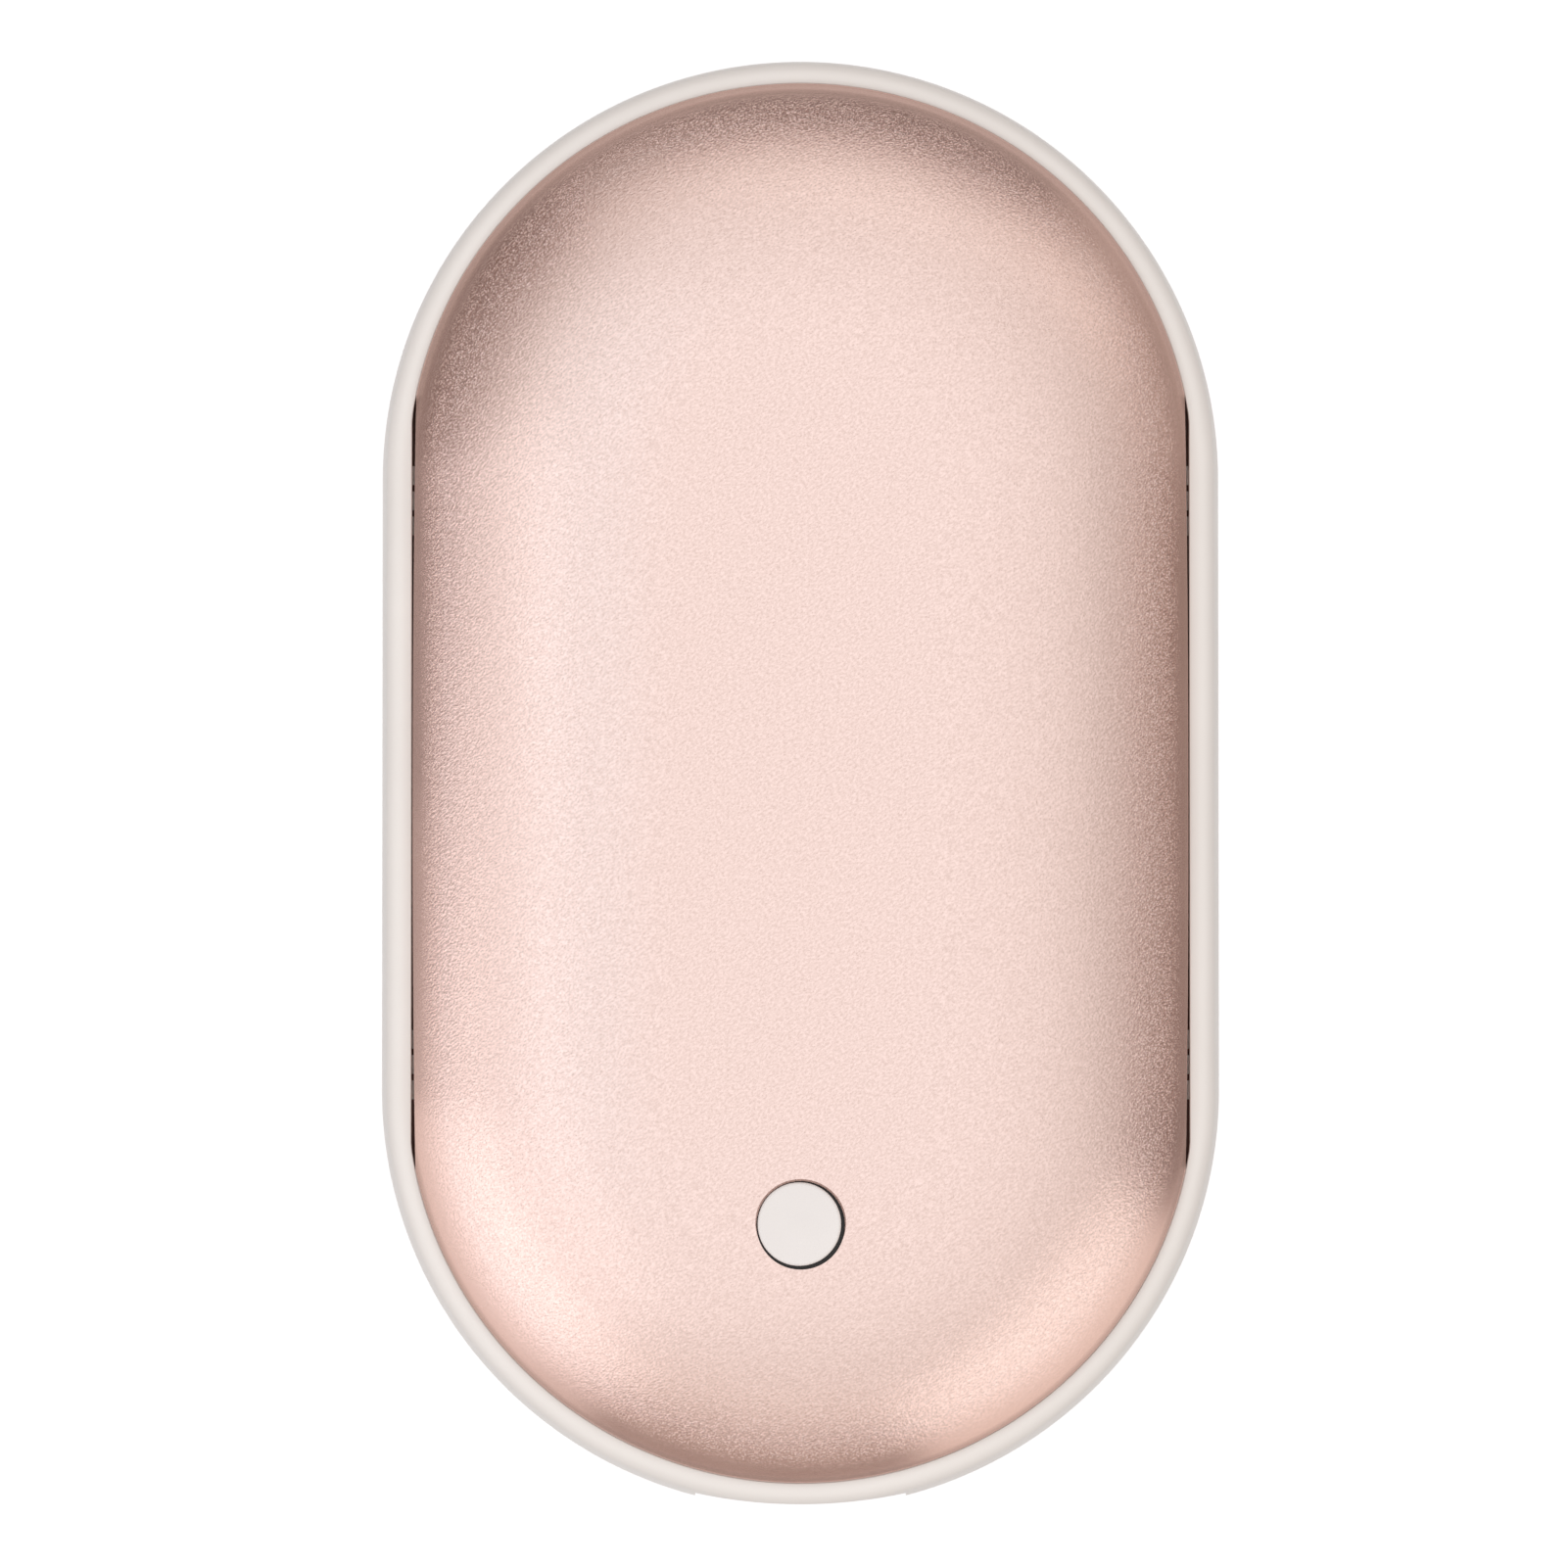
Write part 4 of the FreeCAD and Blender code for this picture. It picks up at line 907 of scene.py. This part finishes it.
def makePad(name, node):
    low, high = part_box(node)
    piece = blockPiece(name, low, high)
    height = high[2] - low[2]
    pick("EDGE", lambda edge: runOf(edge, "z") > height / 2)
    bpy.ops.mesh.bevel(offset=pad["corner"], segments=pad["cornerSteps"], affect="EDGES")
    pick("EDGE", lambda edge: runOf(edge, "z") < sameNumber)
    bpy.ops.mesh.bevel(offset=pad["round"], segments=pad["roundSteps"], affect="EDGES")
    pick("FACE", lambda face: abs(face.normal.z) > pad["level"])
    bpy.ops.mesh.inset(thickness=pad["inset"], use_individual=True)
    # the middle faces alone have many sides
    pick("FACE", lambda face: abs(face.normal.z) > pad["level"] and len(face.verts) > pad["ringSides"])
    bpy.ops.mesh.inset(thickness=pad["innerInset"], use_individual=True)
    sealPiece()
    smoothPiece(piece, pad["smooth"])
    dress(piece, "foam", "housing", node)


makePad("frontFoamPad", "front_foam_pad")
makePad("backFoamPad", "back_foam_pad")
print("foam pads made")


# camera, floor and light

view = {
    "distance": 0.800, "tilt": 2.23, "aimX": -1.14 * mm, "aimY": -0.186 * mm,
    "focal": 264.7, "sensor": 36, "nearest": 0.01,
}


def makeCamera():
    tilt, away = math.radians(view["tilt"]), view["distance"]
    clearSelection()
    bpy.ops.object.camera_add(
        location=(view["aimX"], view["aimY"] - away * math.sin(tilt), midZ + away * math.cos(tilt)),
        rotation=(tilt, 0, 0))
    camera = nameActive("photoCamera")
    camera.data.sensor_width = view["sensor"]
    camera.data.lens = view["focal"]
    camera.data.clip_start = view["nearest"]
    bpy.context.scene.camera = camera


makeCamera()

# the floor is bright to the camera and in the metal, and throws back little soft light
floorLook = {
    "size": 6.0, "drop": 0.05 * mm, "colour": (0.16, 0.157, 0.155), "seen": (0.9, 0.9, 0.9), "rough": 0.9,
    "white": 0.76, "glow": 1.13,
}


def makeFloor():
    clearSelection()
    bpy.ops.mesh.primitive_plane_add(size=floorLook["size"], location=(0, 0, backLow[2] - floorLook["drop"]))
    floor = nameActive("studioFloor")
    material, tree, shader = startMaterial("paleFloor")
    setInputs(shader, Roughness=floorLook["rough"])
    paths = addNode(tree, "ShaderNodeLightPath")
    seen = doMath(tree, "MAXIMUM", paths.outputs["Is Camera Ray"], paths.outputs["Is Glossy Ray"])
    seen = doMath(tree, "MAXIMUM", seen, paths.outputs["Is Transmission Ray"])
    tree.links.new(mixColours(tree, seen, floorLook["colour"], floorLook["seen"]), shader.inputs["Base Color"])
    glow = setInputs(addNode(tree, "ShaderNodeEmission"), Strength=floorLook["glow"])
    blend = addNode(tree, "ShaderNodeMixShader")
    tree.links.new(doMath(tree, "MULTIPLY", seen, floorLook["white"]), blend.inputs["Fac"])
    tree.links.new(shader.outputs["BSDF"], blend.inputs[1])
    tree.links.new(glow.outputs["Emission"], blend.inputs[2])
    tree.links.new(blend.outputs["Shader"], tree.nodes["Material Output"].inputs["Surface"])
    floor.data.materials.append(material)


makeFloor()

# a soft dome of light, full overhead and falling off towards a dark horizon, with broad soft boxes round it
domeLight = {
    "strength": 1.18,
    "steps": ((0.0, (0.030, 0.010, 0.007)), (0.087, (0.058, 0.024, 0.017)), (0.242, (0.280, 0.190, 0.164)),
              (0.40, (0.475, 0.414, 0.390)), (0.545, (0.695, 0.66, 0.637)), (0.676, (0.855, 0.83, 0.81)),
              (0.788, (0.94, 0.93, 0.92)), (1.0, (1.0, 1.0, 1.0))),
}
# each box: how far it stands in metres, its turn from +X and its lean from upright in degrees, its width and
# height at 1 m, its brightness and its tint
softBoxes = {
    "leftLow": {"off": 0.45, "turn": 210.3, "lean": 72, "wide": 1.08, "tall": 0.52,
                "bright": 0.76, "tint": (1, 1, 1)},
    "leftHigh": {"off": 0.45, "turn": 200.3, "lean": 58, "wide": 1.1, "tall": 0.9,
                 "bright": 0.30, "tint": (0.95, 1, 1.08)},
    "leftTop": {"off": 0.8, "turn": 165, "lean": 30, "wide": 0.8, "tall": 0.5,
                "bright": 0.08, "tint": (0.3, 1, 1.4)},
    "leftFar": {"off": 0.8, "turn": 130, "lean": 48, "wide": 0.7, "tall": 0.3,
                "bright": 0.07, "tint": (0.8, 1, 1.2)},
    "rightLow": {"off": 0.8, "turn": 314.2, "lean": 74, "wide": 0.98, "tall": 0.50,
                 "bright": 0.93, "tint": (1, 1, 0.97)},
    "rightFill": {"off": 0.8, "turn": 26, "lean": 74, "wide": 0.9, "tall": 0.45,
                  "bright": 0.23, "tint": (1, 0.92, 0.82)},
    "farHigh": {"off": 1.0, "turn": 77, "lean": 61.3, "wide": 2.2, "tall": 0.43,
                "bright": 0.34, "tint": (1, 0.98, 0.95)},
    "nearFill": {"off": 0.8, "turn": 262, "lean": 70, "wide": 0.8, "tall": 0.55,
                 "bright": 0.30, "tint": (1, 0.95, 0.89)},
}


def makeDome():
    world = bpy.data.worlds.new("studioLight")
    bpy.context.scene.world = world
    world.use_nodes = True
    tree = world.node_tree
    backdrop = setInputs(tree.nodes["Background"], Strength=domeLight["strength"])
    place = addNode(tree, "ShaderNodeTexCoord")
    axes = addNode(tree, "ShaderNodeSeparateXYZ")
    ramp = addNode(tree, "ShaderNodeValToRGB")
    ramp.color_ramp.interpolation = "EASE"
    stops = ramp.color_ramp.elements
    while len(stops) < len(domeLight["steps"]):
        stops.new(0.5)
    for stop, (height, colour) in zip(stops, domeLight["steps"]):
        stop.position = height
        stop.color = (*colour, 1)
    tree.links.new(place.outputs["Generated"], axes.inputs["Vector"])
    tree.links.new(axes.outputs["Z"], ramp.inputs["Fac"])
    # past the floor's far edge the camera sees plain white
    paths = addNode(tree, "ShaderNodeLightPath")
    seen = doMath(tree, "MAXIMUM", paths.outputs["Is Camera Ray"], paths.outputs["Is Transmission Ray"])
    white = (1 / domeLight["strength"],) * 3
    tree.links.new(mixColours(tree, seen, ramp.outputs["Color"], white), backdrop.inputs["Color"])


def makeSoftBox(name, box):
    turn, lean, off = math.radians(box["turn"]), math.radians(box["lean"]), box["off"]
    out = off * math.sin(lean)
    clearSelection()
    bpy.ops.object.light_add(
        type="AREA", location=(out * math.cos(turn), out * math.sin(turn), off * math.cos(lean)))
    light = nameActive(name)
    light.data.shape = "RECTANGLE"
    light.data.size = off * box["wide"]
    light.data.size_y = off * box["tall"]
    light.data.color = box["tint"]
    light.data.energy = box["bright"] * math.pi * light.data.size * light.data.size_y
    light.rotation_euler = (-light.location).to_track_quat("-Z", "Y").to_euler()


makeDome()
for name, box in softBoxes.items():
    makeSoftBox(name, box)
bpy.context.scene.view_settings.view_transform = "Standard"
print("camera, floor and light placed")
